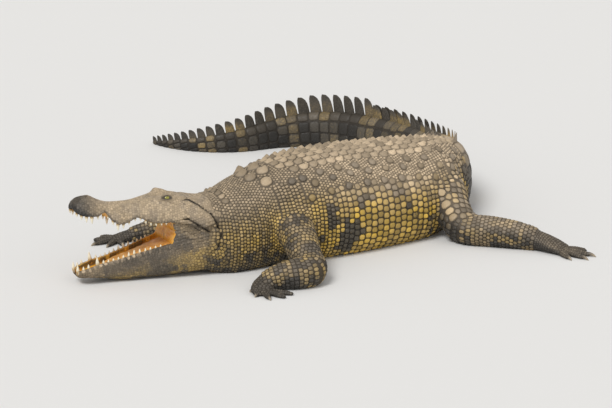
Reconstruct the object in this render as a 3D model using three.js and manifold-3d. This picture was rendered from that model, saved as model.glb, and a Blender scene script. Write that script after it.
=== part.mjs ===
// A basking Nile crocodile, life size: it lies on its belly with the jaws agape and the tail
// swept round behind it. Millimetres, +Z up. +Y is the animal's right, where the tail lies, and
// the snout points to -X. The body is lofted along one spine, and each limb along its own bones.
import * as THREE from "three";
import { mergeVertices } from "three/addons/utils/BufferGeometryUtils.js";
import Module from "manifold-3d";

const wasm = await Module();
wasm.setup();

// ---- Driving dimensions ----
const GAP = 0.4; // between neighbouring pieces
const JAW_HEIGHT = 165; // of the jaw joint above the floor
const JAW_POINT = [-378, -192]; // plan position of the jaw joint's middle
const HEAD_YAW = 24; // degrees from -X towards -Y, so the snout points a little to the front
const UPPER_PITCH = 10.5; // the raised snout
const LOWER_PITCH = -13; // the dropped lower jaw
const MOUTH_CORNER = 138; // ahead of the jaw joint
const HEAD_ROLL = 4; // its left side a little higher
const BODY_SIDES = 16;
const LIMB_SIDES = 8;

// The spine from the jaw joint to the tail tip, as arcs of [length, turn in degrees].
const SPINE = [
  [150, 14],
  [300, -2],
  [450, -4],
  [320, 52],
  [180, 18],
  [210, 10],
  [210, 12],
  [310, 24],
  [160, 34],
  [190, 28],
  [120, -22],
  [385, -60],
];
const TAIL_TIP = SPINE.reduce((sum, [length]) => sum + length, 0);

// The body along the spine: [station, half width, top, height of the widest level, underside].
// An underside below 0 is cut flat where the body rests on the floor.
const GIRTH = [
  [0, 128, 262, 115, -8],
  [60, 150, 272, 108, -24],
  [120, 162, 292, 110, -26],
  [200, 176, 315, 116, -20],
  [300, 200, 340, 122, -22],
  [450, 232, 351, 126, -30],
  [600, 246, 346, 122, -32],
  [750, 246, 336, 118, -32],
  [870, 236, 328, 116, -30],
  [950, 204, 324, 114, -26],
  [1040, 156, 314, 112, -20],
  [1120, 126, 292, 110, -16],
  [1300, 100, 246, 104, -12],
  [1500, 82, 212, 96, -10],
  [1750, 67, 184, 86, -8],
  [2000, 54, 164, 76, -8],
  [2200, 43, 150, 68, -7],
  [2400, 33, 122, 56, -6],
  [2600, 23, 86, 41, -4],
  [2800, 13, 48, 23, -3],
  [2985, 4, 12, 6, -1],
];

// The upper head, forward from the jaw joint:
// [distance, half width at the jaw margin, margin, top, half width of the flat top].
const SKULL = [
  [-30, 116, 30, 92, 60],
  [20, 126, 10, 96, 62],
  [70, 122, 8, 97, 62],
  [120, 112, 13, 100, 60],
  [155, 101, 11, 104, 58],
  [205, 86, 3, 88, 42],
  [240, 76, 9, 76, 34],
  [265, 66, 15, 68, 30],
  [300, 60, -6, 61, 26],
  [330, 61, -14, 55, 25],
  [358, 54, -2, 53, 23],
  [383, 42, 20, 56, 22],
  [405, 48, 9, 62, 26],
  [435, 54, 6, 70, 30],
  [470, 49, 7, 64, 28],
  [490, 34, 14, 52, 20],
  [500, 18, 24, 42, 10],
];
// The side of the skull from its margin to its top: [share of the height, share of the narrowing].
const SKULL_SIDE = [
  [0, 0],
  [0.14, -0.03],
  [0.42, 0.15],
  [0.7, 0.48],
  [0.92, 0.86],
  [1, 1.25],
];

// The lower jaw: [distance, half width, rim, underside].
const MANDIBLE = [
  [-30, 112, -10, -160],
  [20, 120, -10, -160],
  [80, 114, -8, -146],
  [140, 101, -6, -134],
  [200, 86, -6, -124],
  [260, 70, -7, -110],
  [320, 61, -7, -95],
  [370, 52, -6, -78],
  [410, 50, -2, -60],
  [450, 47, -4, -46],
  [478, 36, -6, -38],
  [494, 18, -12, -28],
];
// The side of the jaw from its rim to its underside: [share of the depth, share of the width].
const MANDIBLE_SIDE = [
  [0, 0.97],
  [0.25, 1],
  [0.55, 0.96],
  [0.82, 0.87],
  [0.97, 0.6],
];

// Teeth: [distance, length] in each row; they lean out by TOOTH_LEAN of their length.
const TOOTH_LEAN = 0.18;
const UPPER_TEETH = [
  [484, 12],
  [470, 16],
  [452, 22],
  [432, 26],
  [408, 13],
  [370, 10],
  [352, 14],
  [334, 24],
  [314, 17],
  [294, 12],
  [274, 10],
  [256, 11],
  [238, 13],
  [220, 13],
  [202, 11],
  [184, 9],
  [168, 8],
];
const LOWER_TEETH = [
  [484, 26],
  [466, 14],
  [448, 16],
  [414, 30],
  [392, 13],
  [374, 10],
  [356, 10],
  [338, 10],
  [320, 12],
  [300, 16],
  [280, 18],
  [260, 15],
  [240, 11],
  [222, 10],
  [204, 9],
  [186, 8],
];

const TONGUE = { from: 120, to: 404, rise: 20 };
const EYE = { along: 163, out: 52, up: 88, radius: 15.5 };

// Where the limbs join the spine, and each limb as joints of
// [back along the body, out from the spine, height, half width, half thickness].
const SHOULDER = 300;
const HIP = 970;
const FORELEGS = [
  {
    side: 1,
    name: "left",
    upper: [
      [-4, 120, 150, 74, 66],
      [-30, 200, 132, 68, 62],
      [-66, 290, 96, 60, 56],
      [-92, 368, 56, 53, 52],
    ],
    lower: [
      [-80, 348, 57, 53, 53],
      [-106, 384, 52, 56, 56],
      [-164, 374, 49, 54, 54],
      [-220, 346, 41, 46, 44],
      [-258, 324, 30, 37, 30],
    ],
    palm: [
      [-238, 324, 31, 34, 29],
      [-272, 334, 24, 38, 21],
      [-296, 358, 16, 41, 15],
      [-306, 374, 10, 38, 10],
    ],
    toes: [
      [-322, 330],
      [-338, 378],
      [-318, 428],
      [-268, 452],
      [-226, 440],
    ],
  },
  {
    side: -1,
    name: "right",
    upper: [
      [-30, 110, 150, 70, 62],
      [-60, 190, 120, 60, 54],
      [-106, 270, 84, 57, 53],
      [-150, 322, 58, 52, 50],
    ],
    lower: [
      [-132, 306, 58, 52, 50],
      [-168, 340, 48, 53, 50],
      [-226, 372, 43, 48, 46],
      [-282, 402, 32, 38, 33],
      [-322, 420, 24, 32, 24],
    ],
    palm: [
      [-304, 412, 25, 29, 22],
      [-340, 428, 19, 36, 17],
      [-368, 440, 13, 40, 12],
      [-384, 446, 9, 37, 9],
    ],
    toes: [
      [-392, 382],
      [-438, 404],
      [-466, 448],
      [-444, 492],
      [-402, 510],
    ],
  },
];
const HINDLEGS = [
  {
    side: 1,
    name: "left",
    upper: [
      [0, 60, 175, 100, 86],
      [-12, 140, 146, 90, 80],
      [-42, 222, 100, 70, 66],
      [-70, 298, 60, 60, 56],
    ],
    lower: [
      [-58, 276, 58, 60, 57],
      [-58, 320, 52, 61, 57],
      [-10, 396, 50, 59, 56],
      [34, 474, 45, 53, 51],
      [68, 532, 37, 43, 41],
    ],
    palm: [
      [54, 508, 40, 41, 39],
      [76, 556, 33, 44, 32],
      [92, 606, 24, 47, 23],
      [104, 642, 14, 47, 14],
    ],
    toes: [
      [62, 706],
      [102, 740],
      [144, 734],
      [172, 690],
    ],
  },
  {
    side: -1,
    name: "right",
    upper: [
      [0, 60, 175, 100, 86],
      [0, 130, 146, 90, 80],
      [-10, 200, 100, 70, 66],
      [-20, 268, 60, 60, 56],
    ],
    lower: [
      [-8, 246, 58, 60, 57],
      [0, 284, 52, 61, 57],
      [50, 330, 48, 58, 54],
      [104, 366, 43, 50, 48],
      [146, 392, 35, 41, 38],
    ],
    palm: [
      [130, 376, 38, 39, 36],
      [142, 420, 33, 43, 31],
      [124, 470, 24, 47, 22],
      [110, 512, 14, 47, 13],
    ],
    toes: [
      [36, 578],
      [66, 624],
      [112, 638],
      [152, 604],
    ],
  },
];

// The crest: two rows of scutes down the front half of the tail, then a single row of fins.
const CREST_START = 1140;
const CREST_JOIN = 1950;
const CREST_PITCH = [56, 25]; // at its start and at the tail tip

// ---- Small helpers ----
const RAD = Math.PI / 180;
const mix = THREE.MathUtils.lerp;

function solidOf(geometry) {
  const bare = geometry.clone();
  bare.deleteAttribute("normal");
  bare.deleteAttribute("uv");
  const merged = mergeVertices(bare, 1e-3);
  return new wasm.Manifold(
    new wasm.Mesh({
      numProp: 3,
      vertProperties: merged.attributes.position.array,
      triVerts: new Uint32Array(merged.index.array),
    }),
  );
}

function geometryOf(solid) {
  const mesh = solid.getMesh();
  const geometry = new THREE.BufferGeometry();
  geometry.setAttribute("position", new THREE.BufferAttribute(mesh.vertProperties, 3));
  geometry.setIndex(new THREE.BufferAttribute(mesh.triVerts, 1));
  geometry.computeVertexNormals();
  return geometry;
}

// Closes the ring of points that starts at `first` with a fan of faces: about the ring's middle,
// or about its first point where it has only 3 or 4 sides.
function closeRing(points, faces, first, sides, turned) {
  const few = sides < 5;
  const hub = few ? first : points.length;
  if (!few) {
    const middle = new THREE.Vector3();
    for (const point of points.slice(first, first + sides)) middle.add(point);
    points.push(middle.divideScalar(sides));
  }
  for (let k = few ? 1 : 0; k < (few ? sides - 1 : sides); k++) {
    const [a, b] = [first + k, first + ((k + 1) % sides)];
    faces.push(hub, turned ? b : a, turned ? a : b);
  }
}

// A closed skin over a row of rings with equal counts of points.
function loft(rings) {
  const sides = rings[0].length;
  const points = rings.flat();
  const faces = [];
  for (let r = 0; r < rings.length - 1; r++) {
    for (let k = 0; k < sides; k++) {
      const next = (k + 1) % sides;
      const [a, b] = [r * sides + k, r * sides + next];
      faces.push(a, b, b + sides, a, b + sides, a + sides);
    }
  }
  closeRing(points, faces, 0, sides, true);
  closeRing(points, faces, (rings.length - 1) * sides, sides, false);
  const geometry = new THREE.BufferGeometry().setFromPoints(points);
  geometry.setIndex(faces);
  const solid = solidOf(geometry);
  if (solid.volume() > 0) return solid;
  geometry.setIndex(faces.reverse());
  return solidOf(geometry);
}

// The row of a table at a station, by cubic interpolation between its rows.
function rowAt(table, station) {
  let i = table.findIndex((row) => row[0] > station) - 1;
  if (i < 0) i = station < table[0][0] ? 0 : table.length - 2;
  const [before, from, to, after] = [i - 1, i, i + 1, i + 2].map(
    (n) => table[THREE.MathUtils.clamp(n, 0, table.length - 1)],
  );
  const span = to[0] - from[0];
  const t = THREE.MathUtils.clamp((station - from[0]) / span, 0, 1);
  return from.slice(1).map((value, n) => {
    const c = n + 1;
    const slopeIn = ((to[c] - before[c]) / (to[0] - before[0])) * span;
    const slopeOut = ((after[c] - from[c]) / (after[0] - from[0])) * span;
    const [t2, t3] = [t * t, t * t * t];
    return (
      (2 * t3 - 3 * t2 + 1) * value +
      (t3 - 2 * t2 + t) * slopeIn +
      (3 * t2 - 2 * t3) * to[c] +
      (t3 - t2) * slopeOut
    );
  });
}

function stepsBetween(from, to, steps) {
  return Array.from({ length: steps + 1 }, (_, i) => from + ((to - from) * i) / steps);
}

const power = (value, exponent) => Math.sign(value) * Math.abs(value) ** exponent;

// ---- The spine and the body round it ----
// Plan position and heading of the spine at a station. Before the jaw joint it runs straight on.
function spineAt(station) {
  let [x, y] = JAW_POINT;
  let heading = HEAD_YAW * RAD;
  let left = station;
  for (const [length, turn] of SPINE) {
    const run = left < 0 ? left : Math.min(left, length);
    const bend = left < 0 ? 0 : (turn * RAD * run) / length;
    const chord = bend ? (2 * Math.sin(bend / 2) * run) / bend : run;
    x += chord * Math.cos(heading + bend / 2);
    y += chord * Math.sin(heading + bend / 2);
    heading += bend;
    left -= run;
    if (left <= 0) break;
  }
  return { x, y, heading };
}

// A point beside the spine: `out` to the animal's left (+1) or right (-1) side, `back` along it.
function besideSpine(station, side, back, out, z) {
  const { x, y, heading } = spineAt(station);
  const [c, s] = [Math.cos(heading), Math.sin(heading)];
  return new THREE.Vector3(x + back * c + side * out * s, y + back * s - side * out * c, z);
}

function bodyRing(station, grow = 0) {
  const [half, top, axis, low] = rowAt(GIRTH, station);
  return Array.from({ length: BODY_SIDES }, (_, k) => {
    const angle = (2 * Math.PI * k) / BODY_SIDES;
    const upper = k <= BODY_SIDES / 2;
    const across = (half + grow) * power(Math.cos(angle), upper ? 0.9 : 0.6);
    const up = power(Math.sin(angle), upper ? 0.9 : 0.8);
    const z = axis + (up > 0 ? top - axis + grow : axis - low + grow) * up;
    return besideSpine(station, -1, 0, across, Math.max(z, -grow));
  });
}

// A length of the body. A grown one, for cutting, reaches the ends of its neighbours.
function bodyLoft([, from, to, steps], grow = 0) {
  const end = grow ? 0 : GAP / 2;
  return loft(stepsBetween(from + end, to - end, steps).map((s) => bodyRing(s, grow)));
}

// ---- The head ----
// A point of a jaw: `along` it from the joint, `out` to the left and `up` from the jaw line.
function jawPoint(along, out, up, pitch) {
  const [c, s] = [Math.cos(pitch * RAD), Math.sin(pitch * RAD)];
  const [aside, above] = [
    out * Math.cos(HEAD_ROLL * RAD) - up * Math.sin(HEAD_ROLL * RAD),
    out * Math.sin(HEAD_ROLL * RAD) + up * Math.cos(HEAD_ROLL * RAD),
  ];
  const z = JAW_HEIGHT + along * s + above * c;
  return besideSpine(0, 1, above * s - along * c, aside, Math.max(z, 0));
}

// A ring of a jaw from the outline of its left half, listed from bottom to top.
function jawRing(along, outline, pitch) {
  const right = outline.filter(([out]) => out > 0).map(([out, up]) => [-out, up]);
  const ring = [...outline, ...right.reverse()];
  return ring.map(([out, up]) => jawPoint(along, out, up, pitch));
}

function skullRing(along, grow = 0) {
  const [half, margin, top, flat] = rowAt(SKULL, along);
  const side = SKULL_SIDE.map(([t, narrowing]) => [
    mix(half, flat, narrowing) + grow,
    mix(margin - grow, top + grow, t),
  ]);
  const palate = [
    [0, margin + 10 - grow],
    [half * 0.8, margin + 1 - grow],
  ];
  return jawRing(along, [...palate, ...side, [0, top + grow]], UPPER_PITCH);
}

function mandibleRing(along, grow = 0) {
  const [half, rim, low] = rowAt(MANDIBLE, along);
  const side = MANDIBLE_SIDE.map(([t, width]) => [
    half * width + grow,
    mix(rim + grow, low - grow, t),
  ]).reverse();
  const inside = [
    [half * 0.97 - 9, rim + grow],
    [half * 0.9 - 16, rim - 17 + grow],
    [0, rim - 22 + grow],
  ];
  return jawRing(along, [[0, low - grow], ...side, ...inside], LOWER_PITCH);
}

// Keeps what lies ahead of the plane across the jaw joint, where the neck begins.
function aheadOfNeck(solid, gap) {
  const { x, y, heading } = spineAt(0);
  const ahead = [-Math.cos(heading), -Math.sin(heading), 0];
  return solid.trimByPlane(ahead, ahead[0] * x + ahead[1] * y + gap);
}

// A row of teeth on each side of a jaw: `place` gives the root's half width and level.
function teeth(rows, place, direction, pitch) {
  const cones = [];
  for (const [along, length] of rows) {
    const { out, up } = place(along);
    const radius = 2.6 + length * 0.13;
    for (const side of [1, -1]) {
      const ring = (share, lift) =>
        Array.from({ length: 3 }, (_, k) => {
          const angle = (2 * Math.PI * k) / 3;
          const around = [radius * share * Math.cos(angle), radius * share * Math.sin(angle)];
          return jawPoint(
            along + around[0],
            side * (out + TOOTH_LEAN * lift) + around[1],
            up + direction * lift,
            pitch,
          );
        });
      cones.push(loft([ring(1.1, -5), ring(0.15, length)]));
    }
  }
  return cones;
}

// ---- Limbs ----
// A ring square to the path of a limb, cut flat on the floor.
function limbRing(center, direction, across, thick, sides, grow) {
  const aside = new THREE.Vector3(direction.y, -direction.x, 0).normalize();
  const over = new THREE.Vector3().crossVectors(aside, direction).normalize();
  if (over.z < 0) over.negate();
  return Array.from({ length: sides }, (_, k) => {
    const angle = (2 * Math.PI * (k + 0.5)) / sides;
    const point = center
      .clone()
      .addScaledVector(aside, (across + grow) * Math.cos(angle))
      .addScaledVector(over, (thick + grow) * Math.sin(angle));
    point.z = Math.max(point.z, -grow);
    return point;
  });
}

// A limb through joints of [x, y, z, half width, half thickness].
function limbLoft(joints, sides, grow = 0) {
  const centers = joints.map(([x, y, z]) => new THREE.Vector3(x, y, z));
  const rings = centers.map((center, i) => {
    const [from, to] = [centers[Math.max(i - 1, 0)], centers[Math.min(i + 1, joints.length - 1)]];
    const direction = to.clone().sub(from).normalize();
    const end = i === 0 ? -1 : i === joints.length - 1 ? 1 : 0;
    const at = center.clone().addScaledVector(direction, end * grow);
    return limbRing(at, direction, joints[i][3], joints[i][4], sides, grow);
  });
  return loft(rings);
}

// The joints of a limb in the model's frame.
function placed(root, side, joints) {
  return joints.map(([back, out, z, across, thick]) => [
    ...besideSpine(root, side, back, out, z).toArray(),
    across,
    thick,
  ]);
}

// A toe from the palm's middle to its tip, with a curved claw. The outer toes bear none.
function toe(root, side, palm, tip, size, clawed) {
  const spread = 0.25;
  const [back, out] = [mix(palm[0], tip[0], spread), mix(palm[1], tip[1], spread)];
  const at = (share, z, across, thick) => [
    mix(back, tip[0], share),
    mix(out, tip[1], share),
    z,
    across * size,
    thick * size,
  ];
  const path = [
    at(0.2, 8.5, 12, 11),
    at(0.6, 6.5 * size, 11, 10),
    at(1, 4 * size, 6, 6),
  ];
  const solids = [limbLoft(placed(root, side, path), 4)];
  if (clawed) {
    const claw = [
      at(0.88, 7 * size, 5.5, 6),
      at(1.08, 7 * size, 4, 4.5),
      at(1.24, 1.5 * size, 0.9, 0.9),
    ];
    solids.push(limbLoft(placed(root, side, claw), 3));
  }
  return solids;
}

function foot(root, leg, size) {
  const palm = leg.palm.at(-2);
  const solids = [limbLoft(placed(root, leg.side, leg.palm), LIMB_SIDES)];
  leg.toes.forEach((tip, n) => {
    solids.push(...toe(root, leg.side, palm, tip, size, n < 3));
  });
  for (let n = 0; n + 1 < leg.toes.length; n++) {
    const corners = [
      palm,
      [mix(palm[0], leg.toes[n][0], 0.62), mix(palm[1], leg.toes[n][1], 0.62)],
      [mix(palm[0], leg.toes[n + 1][0], 0.62), mix(palm[1], leg.toes[n + 1][1], 0.62)],
    ];
    const level = (z) => corners.map(([back, out]) => besideSpine(root, leg.side, back, out, z));
    solids.push(loft([level(0), level(8)]));
  }
  return wasm.Manifold.union(solids);
}

// ---- The tail's crest ----
// A fin that leans back: `out` from the middle line, standing on the tail's top.
function fin(station, out, height, length) {
  const [, top] = rowAt(GIRTH, station);
  const base = top - 14;
  const ring = (z, from, to, thick) =>
    [
      [from, 0],
      [(from + to) / 2, thick],
      [to, 0],
      [(from + to) / 2, -thick],
    ].map(([back, aside]) => besideSpine(station, -1, back, out + aside, z));
  return loft([
    ring(base, -0.5 * length, 0.5 * length, 5),
    ring(base + 14 + height * 0.55, -0.24 * length, 0.6 * length, 3),
    ring(base + 14 + height, 0.16 * length, 0.68 * length, 1.2),
  ]);
}

function crestBetween(from, to) {
  const fins = [];
  let station = CREST_START;
  while (station < TAIL_TIP - 30) {
    const share = (station - CREST_START) / (TAIL_TIP - CREST_START);
    const pitch = mix(CREST_PITCH[0], CREST_PITCH[1], share ** 3);
    const single = station > CREST_JOIN;
    const rise = (station - CREST_START) / (CREST_JOIN - CREST_START);
    const fade = (TAIL_TIP - station) / (TAIL_TIP - CREST_JOIN);
    const height = single ? mix(10, 72, Math.min(1, 1.35 * fade) ** 0.8) : mix(14, 50, rise);
    if (station - pitch / 2 > from && station + 0.68 * pitch < to) {
      const [half] = rowAt(GIRTH, station);
      const outs = single ? [0] : [0.36 * half * (1.25 - rise), -0.36 * half * (1.25 - rise)];
      for (const out of outs) fins.push(fin(station, out, height, pitch * 0.96));
    }
    station += pitch;
  }
  return fins;
}

// ---- Build ----
const group = new THREE.Group();
const HIDE = { color: 0x6f6a4c, roughness: 0.8, metalness: 0 };
const FLESH = { color: 0xc98f3a, roughness: 0.5, metalness: 0 };
const IRIS = { color: 0xa39a2c, roughness: 0.1, metalness: 0 };

// Adds a sub-part, without the slivers that a cut may leave beside it.
function add(name, solid, look = HIDE) {
  const [body] = solid.decompose().sort((a, b) => b.volume() - a.volume());
  const mesh = new THREE.Mesh(geometryOf(body), new THREE.MeshStandardMaterial(look));
  mesh.name = name;
  group.add(mesh);
}

const skullAt = (grow) => loft(SKULL.map(([along]) => skullRing(along, grow)));
const jawAt = (grow) => loft(MANDIBLE.map(([along]) => mandibleRing(along, grow)));

const eyes = [1, -1].map((side) => {
  const center = jawPoint(EYE.along, side * EYE.out, EYE.up, UPPER_PITCH);
  const ball = (radius) =>
    solidOf(new THREE.SphereGeometry(radius, 12, 8).translate(center.x, center.y, center.z));
  const name = side > 0 ? "eye_left" : "eye_right";
  return { name, solid: ball(EYE.radius), socket: ball(EYE.radius + GAP) };
});

const upperTeeth = teeth(
  UPPER_TEETH,
  (along) => {
    const [half, margin] = rowAt(SKULL, along);
    return { out: half - 6, up: margin + 1 };
  },
  -1,
  UPPER_PITCH,
);
const lowerTeeth = teeth(
  LOWER_TEETH,
  (along) => {
    const [half, rim] = rowAt(MANDIBLE, along);
    return { out: half * 0.97 - 5, up: rim };
  },
  1,
  LOWER_PITCH,
);

let skull = wasm.Manifold.union([skullAt(0), ...upperTeeth]);
for (const eye of eyes) skull = skull.subtract(eye.socket);
const mandible = wasm.Manifold.union([jawAt(0), ...lowerTeeth]);
add("head_upper", aheadOfNeck(skull, GAP / 2));
add("lower_jaw", aheadOfNeck(mandible, GAP / 2));
for (const eye of eyes) add(eye.name, eye.solid, IRIS);

const cheeks = loft(
  [-20, 30, 80, MOUTH_CORNER].map((along) => {
    const [half] = rowAt(MANDIBLE, along);
    const [, margin] = rowAt(SKULL, along);
    const high = along * Math.tan(UPPER_PITCH * RAD) + margin + 14;
    const low = along * Math.tan(LOWER_PITCH * RAD) - 26;
    const outline = [
      [0, low],
      [half * 0.9, low],
      [half - 3, (low + high) / 2],
      [half * 0.94, high],
      [0, high],
    ];
    return jawRing(along, outline, 0);
  }),
);
const tongue = loft(
  stepsBetween(TONGUE.from, TONGUE.to, 6).map((along) => {
    const [half, rim] = rowAt(MANDIBLE, along);
    const wide = (half * 0.9 - 20) * (along > TONGUE.to - 40 ? 0.62 : 0.92);
    const floor = rim - 21.2;
    const outline = [
      [0, floor],
      [wide * 0.7, floor + 2],
      [wide, floor + TONGUE.rise * 0.45],
      [wide * 0.7, floor + TONGUE.rise * 0.9],
      [0, floor + TONGUE.rise],
    ];
    return jawRing(along, outline, LOWER_PITCH);
  }),
);
add("tongue", aheadOfNeck(tongue.subtract(jawAt(GAP)), MOUTH_CORNER + GAP), FLESH);
add("cheeks", aheadOfNeck(cheeks.subtract(skullAt(GAP)).subtract(jawAt(GAP)), GAP / 2), FLESH);

const BODY_PIECES = [
  ["neck", 0, 180, 3],
  ["trunk_fore", 180, 480, 4],
  ["trunk_mid", 480, 780, 4],
  ["trunk_hind", 780, 1080, 5],
  ["tail_1", 1080, 1400, 5],
  ["tail_2", 1400, 1700, 5],
  ["tail_3", 1700, 2000, 5],
  ["tail_4", 2000, 2400, 6],
  ["tail_5", 2400, TAIL_TIP, 7],
];
for (const piece of BODY_PIECES) {
  const [name, from, to] = piece;
  add(name, wasm.Manifold.union([bodyLoft(piece), ...crestBetween(from, to)]));
}

const trunkHull = wasm.Manifold.union(BODY_PIECES.slice(0, 5).map((p) => bodyLoft(p, GAP)));
for (const [root, legs, names, size] of [
  [SHOULDER, FORELEGS, ["upper_arm", "forearm", "hand"], 1],
  [HIP, HINDLEGS, ["thigh", "shank", "foot"], 1.15],
]) {
  for (const leg of legs) {
    const upper = placed(root, leg.side, leg.upper);
    const lower = placed(root, leg.side, leg.lower);
    const [first, second, third] = names.map((name) => `${name}_${leg.name}`);
    add(first, limbLoft(upper, LIMB_SIDES).subtract(trunkHull));
    const forearm = limbLoft(lower, LIMB_SIDES).subtract(limbLoft(upper, LIMB_SIDES, GAP));
    add(second, forearm.subtract(trunkHull));
    const end = foot(root, leg, size).subtract(limbLoft(lower, LIMB_SIDES, GAP));
    add(third, end.subtract(trunkHull));
  }
}

const middle = new THREE.Box3().setFromObject(group).getCenter(new THREE.Vector3());
group.position.set(-middle.x, -middle.y, 0);
export default group;
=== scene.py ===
"""A basking Nile crocodile, life size, with its jaws agape and its tail swept round behind it.

One skin stands in for the nodes of flesh, and scales, scutes and crest fins are solid mesh over it.
Lengths here are in millimetres in the CAD frame, and turn into metres where a mesh is made.
"""
from math import cos, pi, radians, sin, tan

import bmesh
import bpy
import numpy as np
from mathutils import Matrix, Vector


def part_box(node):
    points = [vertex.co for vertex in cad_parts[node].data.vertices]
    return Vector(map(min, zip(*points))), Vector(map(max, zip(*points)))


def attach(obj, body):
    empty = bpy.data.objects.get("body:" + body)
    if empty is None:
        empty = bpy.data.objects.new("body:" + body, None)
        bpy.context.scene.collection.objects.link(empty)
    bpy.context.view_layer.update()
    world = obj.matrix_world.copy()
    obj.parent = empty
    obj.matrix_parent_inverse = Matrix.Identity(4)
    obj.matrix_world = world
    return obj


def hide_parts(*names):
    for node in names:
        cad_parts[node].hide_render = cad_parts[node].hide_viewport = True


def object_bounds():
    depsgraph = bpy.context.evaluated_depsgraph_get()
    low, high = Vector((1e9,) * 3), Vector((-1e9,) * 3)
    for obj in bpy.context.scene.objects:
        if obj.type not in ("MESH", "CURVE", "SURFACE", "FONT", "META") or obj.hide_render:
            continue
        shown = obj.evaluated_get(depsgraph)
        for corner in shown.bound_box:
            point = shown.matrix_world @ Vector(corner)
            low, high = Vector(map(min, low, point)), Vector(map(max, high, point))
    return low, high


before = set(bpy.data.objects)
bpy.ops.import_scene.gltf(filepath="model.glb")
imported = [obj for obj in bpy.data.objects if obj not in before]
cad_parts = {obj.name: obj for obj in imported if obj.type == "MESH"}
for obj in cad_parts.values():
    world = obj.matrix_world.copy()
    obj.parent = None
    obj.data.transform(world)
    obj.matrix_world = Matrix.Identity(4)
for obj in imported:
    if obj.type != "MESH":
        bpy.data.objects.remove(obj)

import openvdb
from mathutils import Vector
from mathutils.bvhtree import BVHTree
from mathutils.kdtree import KDTree

cad_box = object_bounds()
MM = 0.001  # metres in a millimetre

# ---- The animal's frame: the jaw joint, the spine and the girth round it ----
HEAD_YAW = radians(24)
HEAD_ROLL = radians(4)
UPPER_PITCH = radians(10.5)
LOWER_PITCH = radians(-13)
JAW_HEIGHT = 165
MOUTH_CORNER = 138  # ahead of the jaw joint
SHOULDER = 300  # station on the spine, as the hip's
HIP = 970
# Places on the left of the head: ahead of the jaw joint, out from its middle and up from the jaw line.
EYE = {"along": 163, "out": 52, "up": 88, "radius": 15.5}
NOSTRIL = {"along": 447, "out": 10}
SNOUT_AHEAD = 560  # nothing of the head lies further ahead of the jaw joint

# The spine from the jaw joint to the tail tip, as arcs of [length, turn in degrees].
SPINE = [
    [150, 14], [300, -2], [450, -4], [320, 52], [180, 18], [210, 10],
    [210, 12], [310, 24], [160, 34], [190, 28], [120, -22], [385, -60],
]
TAIL_TIP = sum(length for length, turn in SPINE)

# [station, half width, top, height of the widest level, underside]
GIRTH = np.array([
    [-60, 84, 212, 112, 34], [0, 124, 258, 115, -4], [60, 150, 272, 108, -24], [120, 162, 292, 110, -26],
    [200, 176, 315, 116, -20], [300, 200, 340, 122, -22], [450, 232, 351, 126, -30],
    [600, 246, 346, 122, -32], [750, 246, 336, 118, -32], [870, 236, 328, 116, -30],
    [950, 204, 324, 114, -26], [1040, 156, 314, 112, -20], [1120, 126, 292, 110, -16],
    [1300, 100, 246, 104, -12], [1500, 82, 212, 96, -10], [1750, 67, 184, 86, -8],
    [2000, 54, 164, 76, -8], [2200, 43, 150, 68, -7], [2400, 33, 122, 56, -6],
    [2600, 23, 86, 41, -4], [2800, 13, 48, 23, -3], [2985, 4, 12, 6, -1],
], float)

# [distance ahead of the jaw joint, half width at the margin, margin, top, half width of the flat top]
SKULL = np.array([
    [-30, 116, 30, 92, 60], [20, 126, 10, 96, 62], [70, 122, 8, 97, 62], [120, 112, 13, 100, 60],
    [155, 101, 11, 104, 58], [205, 86, 3, 88, 42], [240, 76, 9, 76, 34], [265, 66, 15, 68, 30],
    [300, 60, -6, 61, 26], [330, 61, -14, 55, 25], [358, 54, -2, 53, 23], [383, 42, 20, 56, 22],
    [405, 48, 9, 62, 26], [435, 54, 6, 70, 30], [470, 49, 7, 64, 28], [490, 34, 14, 52, 20],
    [500, 18, 24, 42, 10],
], float)
# The skull's side: share of the height, share of the narrowing from the margin to the flat top.
SKULL_SIDE = np.array([[0, 0], [0.14, -0.03], [0.42, 0.15], [0.7, 0.48], [0.92, 0.86], [1, 1.2]], float)

# [distance ahead of the jaw joint, half width, rim, underside]
MANDIBLE = np.array([
    [-30, 112, -10, -160], [20, 120, -10, -160], [80, 114, -8, -146], [140, 101, -6, -134],
    [200, 86, -6, -124], [260, 70, -7, -110], [320, 61, -7, -95], [370, 52, -6, -78],
    [410, 50, -2, -60], [450, 47, -4, -46], [478, 36, -6, -38], [494, 18, -12, -28],
], float)
# The lower jaw's side: share of the depth, share of the width.
MANDIBLE_SIDE = np.array([[0, 0.97], [0.25, 1], [0.55, 0.96], [0.82, 0.87], [0.97, 0.6], [1, 0.3]])

TOOTH_LEAN = 0.18  # how far a tooth's tip leans out, as a share of its length
# Teeth: [distance ahead of the jaw joint, length].
UPPER_TEETH = [
    [484, 12], [470, 16], [452, 22], [432, 26], [408, 13], [370, 10], [352, 14], [334, 24],
    [314, 17], [294, 12], [274, 10], [256, 11], [238, 13], [220, 13], [202, 11], [184, 9],
    [168, 8],
]
LOWER_TEETH = [
    [484, 26], [466, 14], [448, 16], [414, 30], [392, 13], [374, 10], [356, 10], [338, 10],
    [320, 12], [300, 16], [280, 18], [260, 15], [240, 11], [222, 10], [204, 9], [186, 8],
]
TONGUE = {"from": 120, "to": 404, "rise": 20}

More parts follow.
